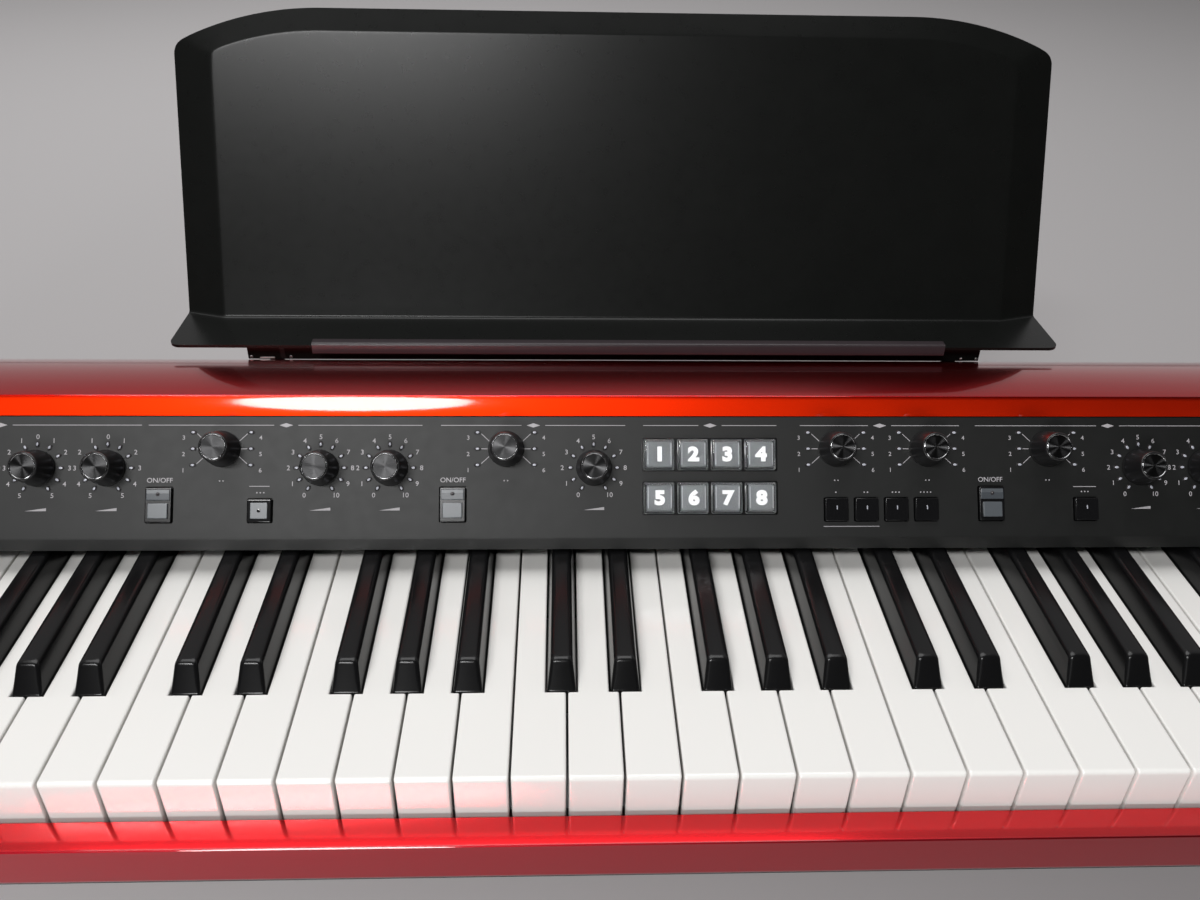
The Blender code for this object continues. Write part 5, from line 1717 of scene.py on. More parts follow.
    def knob(self, control: Control) -> None:
        """A tapered knob: a satin skirt, a bright ring, a spun cap and its shaft.

        Args:
            control: The knob's name and place.
        """
        low, base, top, height = 0.5, 9.0, 7.0, 14.5
        ring = 6.25
        dip = height - 0.9
        place = (control.x, control.row, 0.0)
        node = control.node
        name = node.replace("_knob", "")
        skirt = lathe([(0.0, 2.2), (7.6, 2.2), (7.9, low), (base - 0.1, low), (base, 2.2),
                       (top + 0.15, height - 0.35), (ring + 0.2, height), (ring, dip), (0.0, dip)],
                      [0, 0, 0, 0.3, 0.4, 1.0, 0.15, 0, 0], 72)
        self.put(name + "_skirt", skirt, Finish.SATIN, node, place, replaces=[node], crease=30.0)
        shaft = lathe([(0, -7.7), (3.0, -7.7), (3.0, 2.4), (0, 2.4)], [0, 0.4, 0, 0], 32)
        self.put(name + "_shaft", shaft, Finish.TRIM, node, place)
        trim = turned_ring(filleted(
            [(ring - 0.6, height - 1.0), (ring + 0.02, height - 1.0), (ring + 0.02, height + 0.02),
             (ring - 0.25, height + 0.12), (ring - 0.5, height - 0.12), (ring - 0.6, height - 0.3)],
            [0, 0, 0.1, 0.1, 0.1, 0], 4), 72)
        self.put(name + "_ring", trim, Finish.RING, node, place, crease=40.0)
        cap, polar = self.spun_cap(ring - 0.5, height - 0.25)
        self.put(name + "_cap", cap, Finish.SPUN, node, place, crease=40.0, polar=polar)

    def spun_cap(self, radius: float, height: float) -> tuple[Surface, Array]:
        """The turned face on a knob, very slightly dished.

        Args:
            radius: The face's radius.
            height: How high its edge lies.

        Returns:
            The face, and a polar map for its grain.
        """
        sides = 72
        across = np.concatenate([np.linspace(0.0, radius, 12), [radius]])
        rise = height - self.cap_dish * (1 - (across / radius) ** 2)
        rise[-1] = height - 0.6
        shape = (len(across), sides)
        angle = 2 * math.pi * np.arange(sides) / sides
        spread = np.maximum(across, 0.02)[:, None]
        rings = [spread * np.cos(angle), spread * np.sin(angle), np.broadcast_to(rise[:, None], shape)]
        polar = [np.broadcast_to((across * MM)[:, None], shape), np.broadcast_to(angle / (2 * math.pi), shape)]
        return loft(np.stack(rings, -1)), np.stack(polar, -1).reshape(-1, 2)

    def lamp(self, x: float, y: float, turn: float, size: Sequence[float]) -> tuple[Surface, Surface, Surface]:
        """An oval lamp window: a dark collar and a low dome in it.

        The dome's rings shrink with the cosine of an angle while they rise with its sine.

        Args:
            x: Its middle along X.
            y: Its middle up the face.
            turn: The direction of its long side, in degrees from the face's upward line.
            size: Half its width and half its length.

        Returns:
            The collar, the dome and a pale core in its middle, which is a painted glint.
        """
        angle = 2 * math.pi * np.arange(20) / 20
        a = math.radians(-turn)
        spin = np.array([[math.cos(a), -math.sin(a)], [math.sin(a), math.cos(a)]])

        def rings(scales: Sequence[float], heights: Sequence[float]) -> Surface:
            """The oval lofted through rings.

            Args:
                scales: Each ring's scale.
                heights: Each ring's height.

            Returns:
                The closed shape at its place.
            """
            oval = np.stack([size[0] * np.cos(angle), size[1] * np.sin(angle)], -1) @ spin.T
            ring = np.asarray(scales)[:, None, None] * oval
            level = np.broadcast_to(np.asarray(heights)[:, None, None], (len(scales), len(angle), 1))
            return loft(np.concatenate([ring, level], -1)).moved((x, y, 0.0))

        rise = np.radians(np.linspace(0, 86, 6))
        dome = rings(np.concatenate([[0.84], 0.84 * np.cos(rise)]),
                     np.concatenate([[-0.3], 0.05 + 0.5 * np.sin(rise)]))
        collar = rings([1.22, 1.22, 1.16, 0.98, 0.9], [-0.3, 0.05, 0.12, 0.12, 0.02])
        # A pale core inside the dome: a painted glint.
        glint_core = rings([0.6, 0.6, 0.5], [0.3, 0.56, 0.64])
        return collar, dome, glint_core

    def print_and_lamps(self) -> None:
        """Every printed line and figure, and every lamp."""
        ink: list[Surface] = []
        lamps: list[tuple[Surface, Surface, Surface]] = []

        def figure(text: str, x: float, y: float, height: float = self.figure_height) -> None:
            """One printed figure."""
            ink.append(self.letters.print_at(text, x, y, height, self.ink_low, self.ink_high, 0.006, 1.05))

        def line(start: Sequence[float], end: Sequence[float]) -> None:
            """One printed line."""
            ink.append(bar_between(start, end, self.line_width, self.ink_low, self.ink_high))

        def selector(control: Control, place: int, text: str) -> None:
            """One place of a selector: a lamp, a line that points at it and its figure.

            Args:
                control: The selector.
                place: The place's number, three up the left side and three up the right.
                text: Its figure.
            """
            sign = -1 if place < 3 else 1
            rise = self.selector_rises[place % 3]
            x = control.x + sign * self.selector_lamp
            lamps.append(self.lamp(x, control.row + rise, 90.0, self.lamp_size))
            heading = math.atan2(rise * 0.8, self.selector_lamp)
            start = (control.x + sign * self.selector_line * math.cos(heading),
                     control.row + self.selector_line * math.sin(heading))
            line(start, (x - sign * 1.9, control.row + rise * 0.92))
            figure(text, control.x + sign * self.selector_figure, control.row + rise - 2.6, 2.1)

        def step(control: Control, place: int, text: str) -> None:
            """One step of a dial: a lamp or a line, and its figure.

            Args:
                control: The dial's knob.
                place: The step's number, from 0 at the lower left to 10 at the lower right.
                text: Its figure.
            """
            angle = math.radians(30 * (place - 5))
            direction = np.array([math.sin(angle), math.cos(angle)])
            middle = np.array([control.x, control.row])
            spot = middle + self.ring_radius * direction
            if control.lamps:
                lamps.append(self.lamp(*spot, math.degrees(angle), self.lamp_size))
            else:
                line(spot - direction, spot + direction)
            figure(text, *(middle + (self.figure_radius + 0.3 * abs(direction[0])) * direction))

        for control in self.controls:
            selects = control.scale is Scale.SIX_PLACES
            for place, text in enumerate(control.scale.value.split()):
                (selector if selects else step)(control, place, text)
            if selects:
                self.dots(ink, control.x, control.row - 16.0, 2)
            else:
                self.wedge(ink, control.x, control.row - 20.6)
        for x in self.switches.values():
            figure("ON/OFF", x, self.switch_row + 12.4)
        self.rules(line, ink)
        for x in self.small.values():
            self.dots(ink, x, self.small_row + 9.0, 3)
        for number, x in enumerate(self.functions):
            self.dots(ink, x, self.small_row + 8.8, number + 1)
        pedal, slow = self.small.values()
        for low, high, row in ((pedal - 5.5, pedal + 4.5, self.small_row + 12.2),
                               (slow - 6.0, slow + 6.0, self.small_row + 11.5),
                               (self.functions[0] - 6.6, self.functions[1] + 6.6, 5.3)):
            line((low, row), (high, row))
        self.put("panel_print", joined(ink), Finish.INK, CABINET, crease=60.0)
        collars, domes, glint_cores = zip(*lamps)
        self.put("lamp_collars", joined(collars), Finish.SOCKET_DARK, CABINET, crease=50.0)
        self.put("lamp_lenses", joined(domes), Finish.LED, CABINET, crease=60.0)
        # The lamps' pale cores are painted glints.
        self.put("lamp_glint_cores", joined(glint_cores), Finish.DIE, CABINET, crease=60.0)

    def dots(self, ink: list[Surface], x: float, y: float, count: int) -> None:
        """A short row of printed dots under a control.

        Args:
            ink: The printed shapes so far.
            x: The row's middle along X.
            y: Its middle up the face.
            count: How many dots it has.
        """
        spot = barrel(self.dot_radius, self.ink_low, self.ink_high, 12)
        for place in range(count):
            ink.append(spot.moved((x + (place - (count - 1) / 2) * self.dot_pitch, y, 0.0)))

    def wedge(self, ink: list[Surface], x: float, y: float) -> None:
        """A thin wedge that rises to the right, under a knob that turns a level up.

        Args:
            ink: The printed shapes so far.
            x: Its middle along X.
            y: Its middle up the face.
        """
        reach, rise = self.wedge_half
        outline = np.array([(-reach, -rise), (reach, -rise), (reach, rise)]) + (x, y)
        ink.append(plate_of(outline, self.ink_low, self.ink_high))

    def rules(self, line: Callable[..., None], ink: list[Surface]) -> None:
        """The thin lines that head each group, with a lozenge in the gap of each.

        Args:
            line: A call that prints a line.
            ink: The printed shapes so far.
        """
        groups = ((-385.0, -246.8), (-243.4, -107.7), (-98.4, -5.5), (3.7, 71.7), (83.7, 166.0),
                  (174.3, 313.0), (320.0, 424.0))
        reach, rise = self.lozenge_half
        for low, high in groups:
            middle = (low + high) / 2
            line((low, self.rule_row), (middle - self.rule_gap, self.rule_row))
            line((middle + self.rule_gap, self.rule_row), (high, self.rule_row))
            lozenge = np.array([(-reach, 0), (0, -rise), (reach, 0), (0, rise)]) + (middle, self.rule_row)
            ink.append(plate_of(lozenge, self.ink_low, self.ink_high))

    def stem(self, width: float, depth: float, hole: Sequence[float], flange_width: float) -> list[Surface]:
        """What every button has under the panel: a flange and a stem.

        Args:
            width: The cap's width.
            depth: The cap's depth.
            hole: The hole's width and depth.
            flange_width: The flange's width.

        Returns:
            The closed parts.
        """
        under = -self.wall - 0.3
        foot = -(self.board_depth - 4.7 - 1.0 - 0.3)
        flange = slab(flange_width, hole[1] + 2.4, under - 1.0, under, 0.4, 0.1, 2)
        body = plate_of(oblong(width, depth, 0.6), under - 0.5, 0.3)
        post = slab(4.0, 4.0, foot, under - 0.9, 0.4, 0.05, 2, 0.3)
        return [flange, body, post]

    def fitted(self, hole: Sequence[float]) -> tuple[float, float]:
        """The width and depth of what sits in a hole."""
        return hole[0] - 2 * self.clearance, hole[1] - 2 * self.clearance

    def switch(self, node: str, x: float) -> None:
        """An ON/OFF switch: a dark key with a lit window above and a pale pad below.

        Args:
            node: The switch's CAD node and body.
            x: Its middle.
        """
        width, depth = self.fitted(self.switch_hole)
        place = (x, self.switch_row, 0.0)
        body = [slab(width, depth, 0.2, 1.7, 0.7, 0.35)]
        body += self.stem(width, depth, self.switch_hole, width + 3.2)
        self.put(node + "_key", joined(body), Finish.BEZEL, node, place, replaces=[node])
        window = slab(width - 1.2, 5.4, 1.5, 2.15, 0.4, 0.3).moved((0.0, 5.0, 0.0))
        self.put(node + "_window", window, Finish.SLATE, node, place)
        bright = slab(width - 1.7, 1.7, 1.9, 2.2, 0.3, 0.1).moved((0.0, 6.5, 0.0))
        self.put(node + "_strip", bright, Finish.PALE, node, place)
        pad = slab(width - 3.0, 7.6, 1.5, 2.55, 0.5, 0.35).moved((0.0, -2.9, 0.0))
        self.put(node + "_pad", pad, Finish.PALE, node, place)
        collar, dome, _ = self.lamp(x, self.switch_row + 5.4, 0.0, (0.85, 0.85))
        self.put(node + "_lamp", joined([collar, dome]), Finish.LED, node, (0, 0, 2.1))

    def small_button(self, node: str, x: float, pale: bool) -> None:
        """A small square button in its hole.

        Args:
            node: The button's CAD node and body.
            x: Its middle.
            pale: True if its face is pale with a dark dot.
        """
        width, depth = self.fitted(self.small_hole)
        place = (x, self.small_row, 0.0)
        body = [slab(width, depth, 0.2, 2.2, 0.7, 0.4)]
        body += self.stem(width, depth, self.small_hole, width + 3.2)
        self.put(node + "_cap", joined(body), Finish.GLOSS, node, place, replaces=[node])
        if pale:
            face = slab(width - 3.4, depth - 3.4, 2.0, 2.4, 0.5, 0.2)
            self.put(node + "_face", face, Finish.PALE, node, place)
            dot = lathe([(0, 2.3), (0.9, 2.3), (0.9, 2.55), (0, 2.55)], [0, 0, 0.1, 0], 24)
            self.put(node + "_dot", dot, Finish.GLOSS, node, place)
        else:
            # A painted glint on the dark cap.
            self.put(node + "_mark", self.mark(x), Finish.DIE, node)

    def mark(self, x: float) -> Surface:
        """The thin light mark on a dark button: a painted glint that stands for a reflection on its cap."""
        return slab(0.55, 2.0, 2.0, 2.26, 0.2, 0.04, 3).moved((x, self.small_row + 1.0, 0.0))

    def function_strip(self) -> None:
        """Four glossy caps on one springy strip."""
        node = "function_buttons"
        width, depth = self.fitted(self.small_hole)
        under = -self.wall - 0.3
        reach = self.functions[-1] - self.functions[0] + self.small_hole[0] + 2.4
        strip = slab(reach, self.small_hole[1] + 2.4, under - 1.0, under, 0.4, 0.1, 2)
        parts = [strip.moved((sum(self.functions) / 4, self.small_row, 0))]
        for x in self.functions:
            parts.append(slab(width, depth, under - 0.5, 2.2, 0.7, 0.4).moved((x, self.small_row, 0)))
            parts.append(slab(4.0, 4.0, -8.0, under - 0.9, 0.4, 0.05, 2).moved((x, self.small_row, 0)))
        self.put("function_caps", joined(parts), Finish.GLOSS, node, replaces=[node])
        # Each cap's light mark is a painted glint.
        self.put("function_glint_marks", joined([self.mark(x) for x in self.functions]), Finish.DIE, node)

    def favourites(self) -> None:
        """Eight favourite buttons: clear caps over grey cores with a bold figure and near-white painted
        highlights at their sides, in two bezels.
        """
        width, depth = self.fitted(self.favourite_hole)
        core = [slab(width - 2.6, depth - 2.6, 0.0, 2.55, 0.5, 0.25)]
        core += self.stem(width - 2.6, depth - 2.6, self.favourite_hole, self.favourite_pitch - 1.0)
        # Two near-white strips inside each cap's sides: painted highlights.
        edge = slab(0.6, depth - 4.2, 2.5, 2.8, 0.2, 0.05, 2)
        edges = joined([edge.moved((side * (width / 2 - 1.65), 0.2, 0.0)) for side in (-1, 1)])
        cap = slab(width, depth, -1.8, 3.5, 0.7, 0.55, 5)
        room = slab(width - 1.6, depth - 1.6, -2.2, 2.85, 0.5, 0.2, 4)
        for number, x, row in self.favourite_places():
            node = "favourite_button_%d" % number
            place = (x, row, 0.0)
            figure = self.letters.print_at(str(number), 0.0, 0.15, 6.6, 3.46, 3.54, 0.06, 1.12)
            self.put(node + "_core", joined(core), Finish.CAP_CORE, node, place, replaces=[node])
            self.put(node + "_figure", figure, Finish.WHITE_INK, node, place, crease=60.0)
            self.put(node + "_edges", edges, Finish.CAP_EDGE, node, place)
            self.put(node + "_cap", cap, Finish.CLEAR, node, place, cuts=[self.laid(room.moved(place))])
        outer = plate_of(oblong(4 * self.favourite_pitch + 0.5, 17.2, 0.9), -0.02, 0.32)
        for number, row in enumerate(self.favourite_rows):
            cuts = [self.laid(plate_of(oblong(*self.favourite_hole, self.hole_corner) + (x, place), -1.0, 1.0))
                    for _, x, place in self.favourite_places() if place == row]
            self.put("favourite_bezel_%d" % (number + 1), outer, Finish.BEZEL, CABINET,
                     (self.favourite_middle, row, 0), cuts=cuts, edge=0.12)

    def stick(self) -> None:
        """The joystick: a ball with a ribbed grip, and the gimbal ring round it."""
        neck = math.degrees(math.asin(3.2 / self.ball_radius))
        ball = arc((0.0, 0.0), self.ball_radius, -81.0, 90.0 - neck, 26)
        top = self.joystick_depth + 30.0
        grip = filleted([(3.2, 12.0), (3.2, top - 11.0), (7.0, top - 9.5), (7.0, top - 1.5), (5.5, top),
                         (0.0, top)], [0, 1.5, 1.0, 1.6, 1.2, 0], 5, False)
        profile = np.concatenate([[(0.0, ball[0, 1])], ball, grip[1:]])
        self.put("joystick_lever", turned(profile, 64), Finish.SATIN, "joystick",
                 (*self.joystick, -self.joystick_depth), replaces=["joystick"], crease=35.0)
        self.shop.cast("joystick_gimbal", "gimbal_ring", Finish.SATIN, 0.25)
        reach = self.ball_reach() + 0.5
        collar = lathe([(reach, 0.0), (reach + 3.2, 0.0), (reach + 2.6, 1.1), (reach + 0.2, 1.1)],
                       [0, 0, 0.5, 0.4], 72, 4)
        self.put("joystick_collar", collar, Finish.BEZEL, CABINET, (*self.joystick, 0.0), crease=40.0)

    def build(self) -> None:
        """Make the panel and everything on it."""
        self.face()
        for control in self.controls:
            self.knob(control)
        for node, x in self.switches.items():
            self.switch(node, x)
        for node, x in self.small.items():
            self.small_button(node, x, node == "auto_pedal_button")
        self.function_strip()
        self.favourites()
        self.stick()
        self.print_and_lamps()
        self.shop.dress("panel_board", Finish.BOARD)
        log.info("control panel ready")


@dataclass
class MusicDesk(Assembly):
    """The folded desk plate with its border bent back, its ledge, edging and bracket."""

    middle: float = -5.6
    half_width: float = 242.7
    ledge_front: tuple[float, float] = (67.8, 155.97)
    ledge_depth: float = 32.8
    ledge_slope: float = 1.5
    tilt: float = 23.1
    height: float = 166.2
    wall: float = 1.6
    straight_half: float = 162.0
    arc_radius: float = 178.0
    corner: float = 8.0
    side_band: float = 21.3
    top_band: float = 12.5
    band_bend: float = 15.0
    band_softness: float = 0.45
    mitre_softness: float = 3.0
    mitre_reach: float = 20.0
    ledge_corner: float = 6.0
    fold_radius: float = 2.4
    fitting_places: tuple[float, ...] = (-207.2, -185.8, 186.0, 194.6)
    fitting_z: float = 145.7
    fitting_radius: float = 0.85
    catch_x: float = -198.6

    def crown(self, x: Array, half_width: float, height: float, radius: float, corner: float) -> Array:
        """The plate's height above the fold at a distance from its middle.

        It is level in the middle, falls on a wide arc beyond the straight part, and on a
        small one at the corner.

        Args:
            x: Distances from the middle.
            half_width: Half the plate's width.
            height: Its height in the middle.
            radius: The wide arc's radius.
            corner: The small arc's radius.

        Returns:
            The height at each distance.
        """
        across = np.abs(x)
        reach = half_width - corner - self.straight_half
        turn = math.asin(reach / (radius - corner))
        beyond = np.clip(across - self.straight_half, 0, None)
        wide = height - radius + np.sqrt(np.maximum(radius ** 2 - beyond ** 2, 0))
        centre = height - radius + (radius - corner) * math.cos(turn)
        small = centre + np.sqrt(np.maximum(corner ** 2 - (across - (half_width - corner)) ** 2, 0))
        past = across > self.straight_half + radius * math.sin(turn)
        return np.where(past, small, wide)

    def lag(self, past: Array) -> Array:
        """How far the border lies behind the plate, by the distance past the border's inner line.

        It is the bend's tangent times that distance, softened at the line by a hyperbola.

        Args:
            past: Distances past the inner line, negative inside it.

        Returns:
            How far back the sheet lies at each.
        """
        soft = self.band_softness
        bent = math.tan(math.radians(self.band_bend)) * (past + np.sqrt(past ** 2 + soft ** 2)) / 2
        return np.where(past < -5 * soft, 0.0, bent)

    def columns(self) -> Array:
        """The grid's places across the desk, closer together at the bends and the corners."""
        side = self.half_width - self.side_band
        rounding = self.corner * (1 - np.sin(np.radians(np.linspace(0, 90, 9))))[1:]
        edge = np.concatenate([np.linspace(side, self.half_width - self.corner, 12)[1:],
                               self.half_width - rounding])
        inner = np.concatenate([np.linspace(0, side - 8, 42), np.linspace(side - 8, side, 12)[1:]])
        right = np.concatenate([inner, edge])
        return np.concatenate([-right[::-1][:-1], right])

    def sheet(self) -> Array:
        """The desk as one grid: rows run from the ledge's front up over the fold to the top.

        Each column is a ledge, an arc that touches both, and the plate. Where the border
        lies further back, the column's ledge is longer by that lag over the cosine of the
        two slopes together, so that the fold runs on across the border.

        Returns:
            The grid of points.
        """
        x = self.columns()
        side = self.half_width - self.side_band
        slope = math.radians(self.ledge_slope)
        tilt = math.radians(self.tilt)
        along = np.array([math.cos(slope), math.sin(slope)])
        up = np.array([math.sin(tilt), math.cos(tilt)])
        back = np.array([math.cos(tilt), -math.sin(tilt)])
        normal = np.array([-along[1], along[0]])
        turn = math.pi / 2 - tilt - slope
        tangent = self.fold_radius * math.tan(turn / 2)
        foot_lag = self.lag(np.abs(x) - side)
        longer = foot_lag / math.cos(tilt + slope)
        start = longer * math.sin(tilt + slope)
        corner = self.ledge_corner
        near = corner * (1 - np.cos(np.radians(np.linspace(0, 90, 8))))
        share = np.linspace(0, 1, 9)[1:, None]
        rear = self.ledge_depth + longer - tangent
        depth = np.concatenate([np.broadcast_to(near[:, None], (len(near), len(x))),
                                corner + share * (rear - corner)[None, :]])
        drawn = corner - np.sqrt(np.maximum(corner ** 2 - (corner - depth) ** 2, 0))
        drawn = np.where(depth < corner, drawn, 0.0)
        across = x[None, :] * (self.half_width - drawn) / self.half_width
        ledge = np.array(self.ledge_front) + depth[..., None] * along
        bend = np.linspace(0, turn, 8)[1:-1, None, None]
        centre = np.array(self.ledge_front) + rear[None, :, None] * along + self.fold_radius * normal
        bent = centre + self.fold_radius * (np.sin(bend) * along - np.cos(bend) * normal)
        crown = self.crown(x, self.half_width, self.height, self.arc_radius, self.corner)
        foot = start + tangent
        inner = self.crown(x, self.half_width, self.height - self.top_band,
                           self.arc_radius - self.top_band, 0.0)
        bend_at = np.minimum(inner, crown - 3.5)
        lower = np.linspace(0.0, 1.0, 26)[:-1, None]
        around = 2.0
        upper = np.linspace(0.0, 1.0, 7)[1:, None]
        t = np.concatenate([foot + lower * (bend_at - around - foot),
                            bend_at + np.linspace(-around, around, 17)[:, None],
                            bend_at + around + upper * (crown - bend_at - around)])
        beside = np.broadcast_to(np.abs(x)[None, :] - side, t.shape)
        above = t - inner
        mitre = self.mitre_softness * np.clip(1.0 + np.minimum(beside, above) / self.mitre_reach, 0.0, 1.0)
        past = (beside + above + np.sqrt((beside - above) ** 2 + mitre ** 2)) / 2
        fold = np.array(self.ledge_front) + self.ledge_depth * along
        plate = fold + t[..., None] * up + self.lag(past)[..., None] * back
        flat = np.concatenate([ledge, bent, plate])
        across = np.concatenate([across, np.broadcast_to(x, (len(bend) + len(t), len(x)))])
        return np.concatenate([(across + self.middle)[..., None], flat], -1)

    def plate(self) -> None:
        """The folded sheet with its thickness."""
        points = self.sheet()
        rows, columns = points.shape[:2]
        quads = lattice(rows, columns, False)
        flat = points.reshape(-1, 3)
        a, b, c = (flat[quads[:, k]] for k in range(3))
        if np.cross(b - a, c - b)[:, 2].mean() < 0:
            quads = quads[:, ::-1]
        mesh = self.shop.mesh("desk_sheet", Surface(flat, quads), 34.0)
        mesh.materials.append(self.shop.material(Finish.DESK))
        item = linked("desk_sheet", mesh)
        thick = item.modifiers.new("thickness", "SOLIDIFY")
        thick.thickness = self.wall * MM
        thick.offset = -1.0
        thick.use_even_offset = True
        self.shop.settle(item, DESK_UNIT, Finish.DESK.slot, ["music_desk"], 0.35)

    def edging(self) -> None:
        """The grey channel pushed onto the ledge's front edge."""
        low, high = node_box("desk_edge_strip")
        middle = (low[2] + high[2]) / 2
        slot = self.wall / 2 + 0.4
        front = self.ledge_front[0] - 0.3
        outline = filleted(
            [(low[1], low[2]), (high[1], low[2]), (high[1], middle - slot), (front, middle - slot),
             (front, middle + slot), (high[1], middle + slot), (high[1], high[2]), (low[1], high[2])],
            [1.6, 0.5, 0.3, 0.2, 0.2, 0.3, 0.5, 1.3], 5)
        self.shop.piece("edge_channel", along_x(outline, low[0], high[0]), Finish.EDGING, DESK_UNIT,
                        ["desk_edge_strip"], 30.0, (), 0.25)

    def fittings(self) -> None:
        """The small screws, with painted shade in their cross recesses, the catch's pale bar, and its gap on
        the bracket's front as a dark patch of painted shade.
        """
        front = node_box("stand_bracket")[0][1] + 0.02
        heads, recess_shades = zip(*(
            [part.mapped(OUT_OF_FRONT, (x, front, self.fitting_z)) for part in pan_head(self.fitting_radius)]
            for x in self.fitting_places))
        self.shop.piece("bracket_screws", joined(heads), Finish.ZINC, DESK_UNIT)
        # Painted shade in the screws' cross recesses.
        self.shop.piece("bracket_screw_recesses", joined(recess_shades), Finish.SOCKET_DARK, DESK_UNIT,
                        slot=Slot.ZINC)
        bar = slab(8.2, 0.9, -0.2, 0.35, 0.3, 0.15, 3)
        bar = bar.mapped(OUT_OF_FRONT, (self.catch_x, front, self.fitting_z - 0.5))
        self.shop.piece("catch_bar", bar, Finish.ZINC, DESK_UNIT)
        # A dark patch of painted shade stands for the catch's gap.
        gap = slab(2.6, 7.0, -0.2, 0.06, 0.4, 0.03, 3)
        gap = gap.mapped(OUT_OF_FRONT, (self.catch_x + 8.5, front, self.fitting_z + 2.8))
        self.shop.piece("catch_gap_shade", gap, Finish.SOCKET_DARK, DESK_UNIT, slot=Slot.COAT)

    def build(self) -> None:
        """Make the desk, its edging and its bracket."""
        self.plate()
        self.edging()
        self.shop.cast("stand_bracket", "folded_bracket", Finish.DESK, 0.4)
        self.fittings()
        log.info("music desk ready")


class SocketKind(Enum):
    """What plugs into a rear opening."""

    POWER = "power"
    DATA = "data"
    CONTROL = "control"
    JACK = "jack"


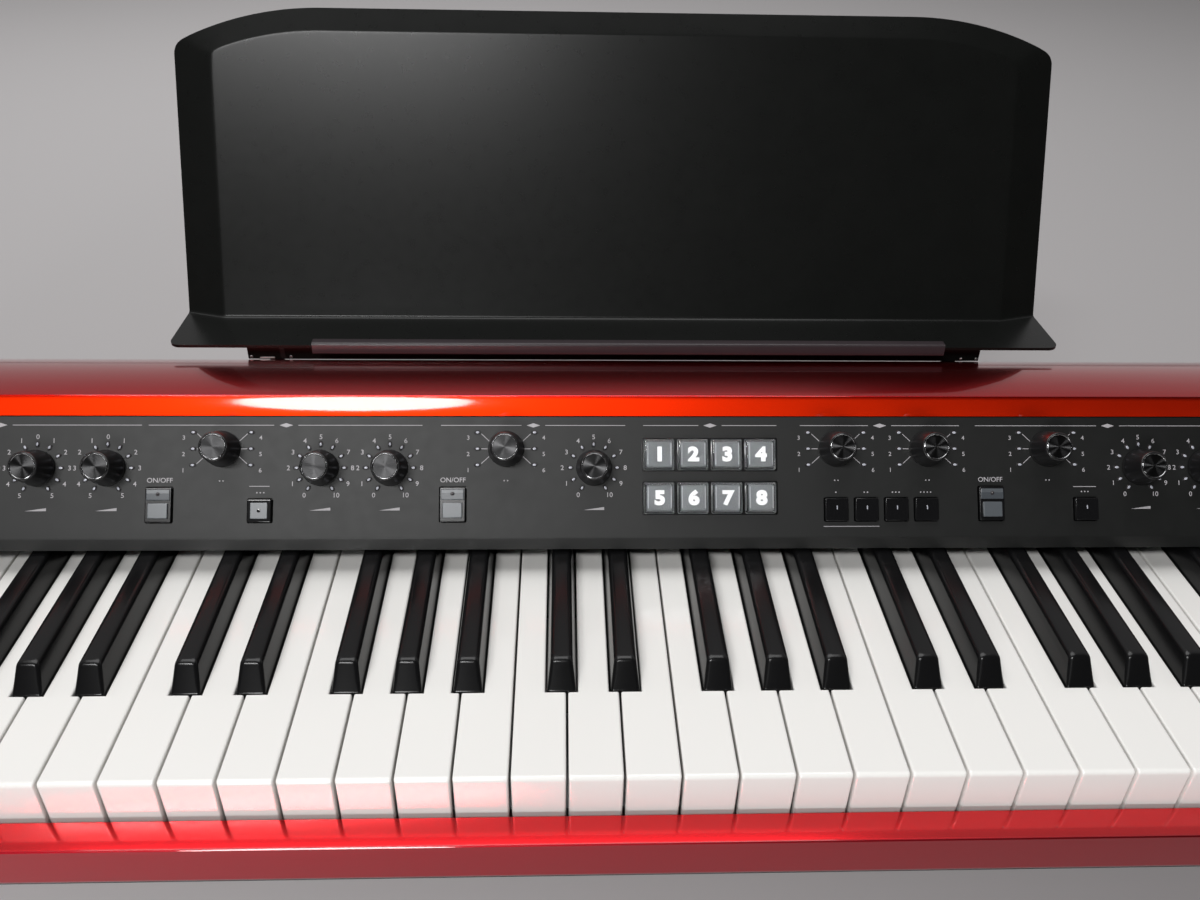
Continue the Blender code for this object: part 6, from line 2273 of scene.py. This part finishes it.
@dataclass
class RearPanel(Assembly):
    """The black rear panel with its sockets and rocker switch, and the screws behind and below."""

    socket_z: float = 35.0
    nut_height: float = 1.6
    room: float = 16.0
    screw_radius: float = 3.0
    screw_pitch: float = 118.0
    screw_rows: tuple[float, float] = (15.5, 52.5)
    base_pitch: float = 156.0
    base_rows: tuple[float, float, float] = (-138.0, 20.0, 152.0)
    foot_clearance: float = 24.0

    def __post_init__(self) -> None:
        """Name the sockets and read the places of the panel and the tray."""
        self.low, self.high = node_box("rear_panel")
        self.tray_low, _ = node_box("base_tray")
        jack = SocketKind.JACK
        control = SocketKind.CONTROL
        self.sockets = [(-405.0, SocketKind.POWER), (-370.0, SocketKind.DATA), (-335.0, control),
                        (-305.0, control)]
        self.sockets += [(x, jack) for x in (-250.0, -222.0, -194.0, -140.0, -112.0, -60.0, -32.0, 20.0)]

    def put(self, name: str, surface: Surface, finish: Finish, x: float, cut: Optional[Surface] = None,
            crease: float = CREASE, edge: float = 0.0) -> None:
        """Make a piece that stands out of the rear face along its own third axis.

        Args:
            name: The piece's name.
            surface: Its surface, around its own origin.
            finish: What it is made of.
            x: Where it sits along the row of sockets.
            cut: What is taken out of it.
            crease: The angle in degrees past which an edge stays sharp.
            edge: The width of its bevel.
        """
        place = (x, self.high[1], self.socket_z)
        cuts = [] if cut is None else [cut.mapped(OUT_OF_REAR, place)]
        self.shop.piece(name, surface.mapped(OUT_OF_REAR, place), finish, CABINET, (), crease, cuts, edge)

    def jack(self, name: str, x: float) -> None:
        """A jack socket: a hexagonal nut, a threaded bush and its contact.

        Args:
            name: The socket's name.
            x: Its middle.
        """
        hexagon = filleted(arc((0, 0), 6.2, 0, 300, 5), [0.6] * 6, 3)
        nut = plate_of(hexagon, 0.02, self.nut_height)
        self.put(name + "_nut", nut, Finish.SATIN, x, barrel(4.3, -1.0, 3.0), edge=0.2)
        turns = np.arange(0.2, 2.2, 0.25)
        thread = np.column_stack([4.2 - 0.12 * (np.arange(len(turns)) % 2), turns])
        section = np.concatenate([[(3.35, -self.room), (4.0, -self.room)], thread,
                                  [(3.9, 2.7), (3.5, 2.7), (3.35, 2.5)]])
        self.put(name + "_bush", turned_ring(section, 40), Finish.TRIM, x, crease=40.0)
        contact = slab(1.6, 9.0, -0.35, 0.35, 0.3, 0.2, 3).mapped(ON_EDGE, (0, 2.7, -9.0))
        self.put(name + "_contact", contact, Finish.ZINC, x)

    def power(self, name: str, x: float) -> None:
        """The round inlet for a low-voltage supply: a sleeve and its pin.

        Args:
            name: The socket's name.
            x: Its middle.
        """
        sleeve = turned_ring([(2.6, -9.0), (3.3, -9.0), (3.3, 0.4), (3.1, 0.6), (2.8, 0.6), (2.6, 0.4)], 40)
        self.put(name + "_sleeve", sleeve, Finish.GLOSS, x)
        pin = lathe([(0, -9.0), (0.9, -9.0), (0.9, -0.8), (0, -0.8)], [0, 0, 0.5, 0], 24)
        self.put(name + "_pin", pin, Finish.TRIM, x)

    def data(self, name: str, x: float) -> None:
        """The square data socket: a folded steel shell round a dark tongue.

        Args:
            name: The socket's name.
            x: Its middle.
        """
        room = plate_of(oblong(7.5, 7.5, 0.7), -8.6, 1.0)
        self.put(name + "_shell", plate_of(oblong(8.4, 8.4, 1.0), -9.0, 0.3), Finish.TRIM, x, room)
        self.put(name + "_tongue", slab(5.4, 3.0, -8.7, -1.0, 0.3, 0.2, 3), Finish.GLOSS, x)

    def control(self, name: str, x: float) -> None:
        """A round control socket: a flanged cup with five contacts on half a circle.

        Args:
            name: The socket's name.
            x: Its middle.
        """
        cup = lathe([(0, -7.5), (7.0, -7.5), (7.0, 0.02), (8.9, 0.02), (8.9, 0.9), (6.5, 1.0),
                     (6.4, -6.0), (0, -6.0)], [0, 0, 0, 0, 0.4, 0.4, 0, 0], 48, 3)
        self.put(name + "_cup", cup, Finish.BEZEL, x)
        contact = turned_ring([(0.55, -6.1), (0.95, -6.1), (0.95, -5.7), (0.55, -5.7)], 20)
        places = arc((0.0, 0.0), 4.0, 0.0, 180.0, 4)
        contacts = joined([contact.moved((*place, 0.0)) for place in places])
        self.put(name + "_contacts", contacts, Finish.TRIM, x)

    def screws(self, name: str, turn: Sequence[Sequence[float]], places: Sequence[Sequence[float]]) -> None:
        """A set of pan-head screws on one face.

        Args:
            name: What the set is called.
            turn: The rows that turn a head's axis out of the face.
            places: Where each one sits.
        """
        head, cross = pan_head(self.screw_radius)
        self.shop.piece(name + "_screws", joined([head.mapped(turn, place) for place in places]), Finish.SCREW)
        # Painted shade in the screws' cross recesses.
        self.shop.piece(name + "_screw_recesses", joined([cross.mapped(turn, place) for place in places]),
                        Finish.SOCKET_DARK, slot=Slot.ZINC)

    def build(self) -> None:
        """Make the rear panel's face and everything on it, and the tray's screws."""
        self.shop.cast("rear_panel", "rear_plate", Finish.STEEL, 0.25)
        makers = {SocketKind.POWER: self.power, SocketKind.DATA: self.data,
                  SocketKind.CONTROL: self.control, SocketKind.JACK: self.jack}
        for number, (x, kind) in enumerate(self.sockets):
            makers[kind]("%s_socket_%d" % (kind.value, number + 1), x)
        self.shop.dress("rear_jack_board", Finish.BOARD)
        self.shop.cast("power_switch", "power_rocker", Finish.GLOSS, 0.4)
        across = self.screw_pitch * np.arange(-4, 5)
        rear = [(x, self.high[1], self.screw_rows[0]) for x in across]
        rear += [(x, self.high[1], self.screw_rows[1]) for x in across[:-1] + self.screw_pitch / 2]
        self.screws("rear", OUT_OF_REAR, rear)
        feet = [sum(node_box(node)) / 2 for node in FEET]
        base = [(x, y, self.tray_low[2]) for x in self.base_pitch * np.arange(-3, 4) for y in self.base_rows
                if min(math.hypot(x - foot[0], y - foot[1]) for foot in feet) > self.foot_clearance]
        self.screws("base", OUT_OF_BASE, base)
        log.info("rear panel ready")


def main() -> None:
    """Build the studio and each sub-assembly in order, and report its pieces."""
    logging.basicConfig(level=logging.INFO, format="%(name)s: %(message)s")
    shop = Workshop()
    Studio().build()
    for kind in (Casework, Keyboard, ControlPanel, MusicDesk, RearPanel):
        before = len(shop.names)
        kind(shop).build()
        for name in shop.names[before:]:
            log.info("%s: %s", kind.__name__, name)


if __name__ == "__main__":
    main()
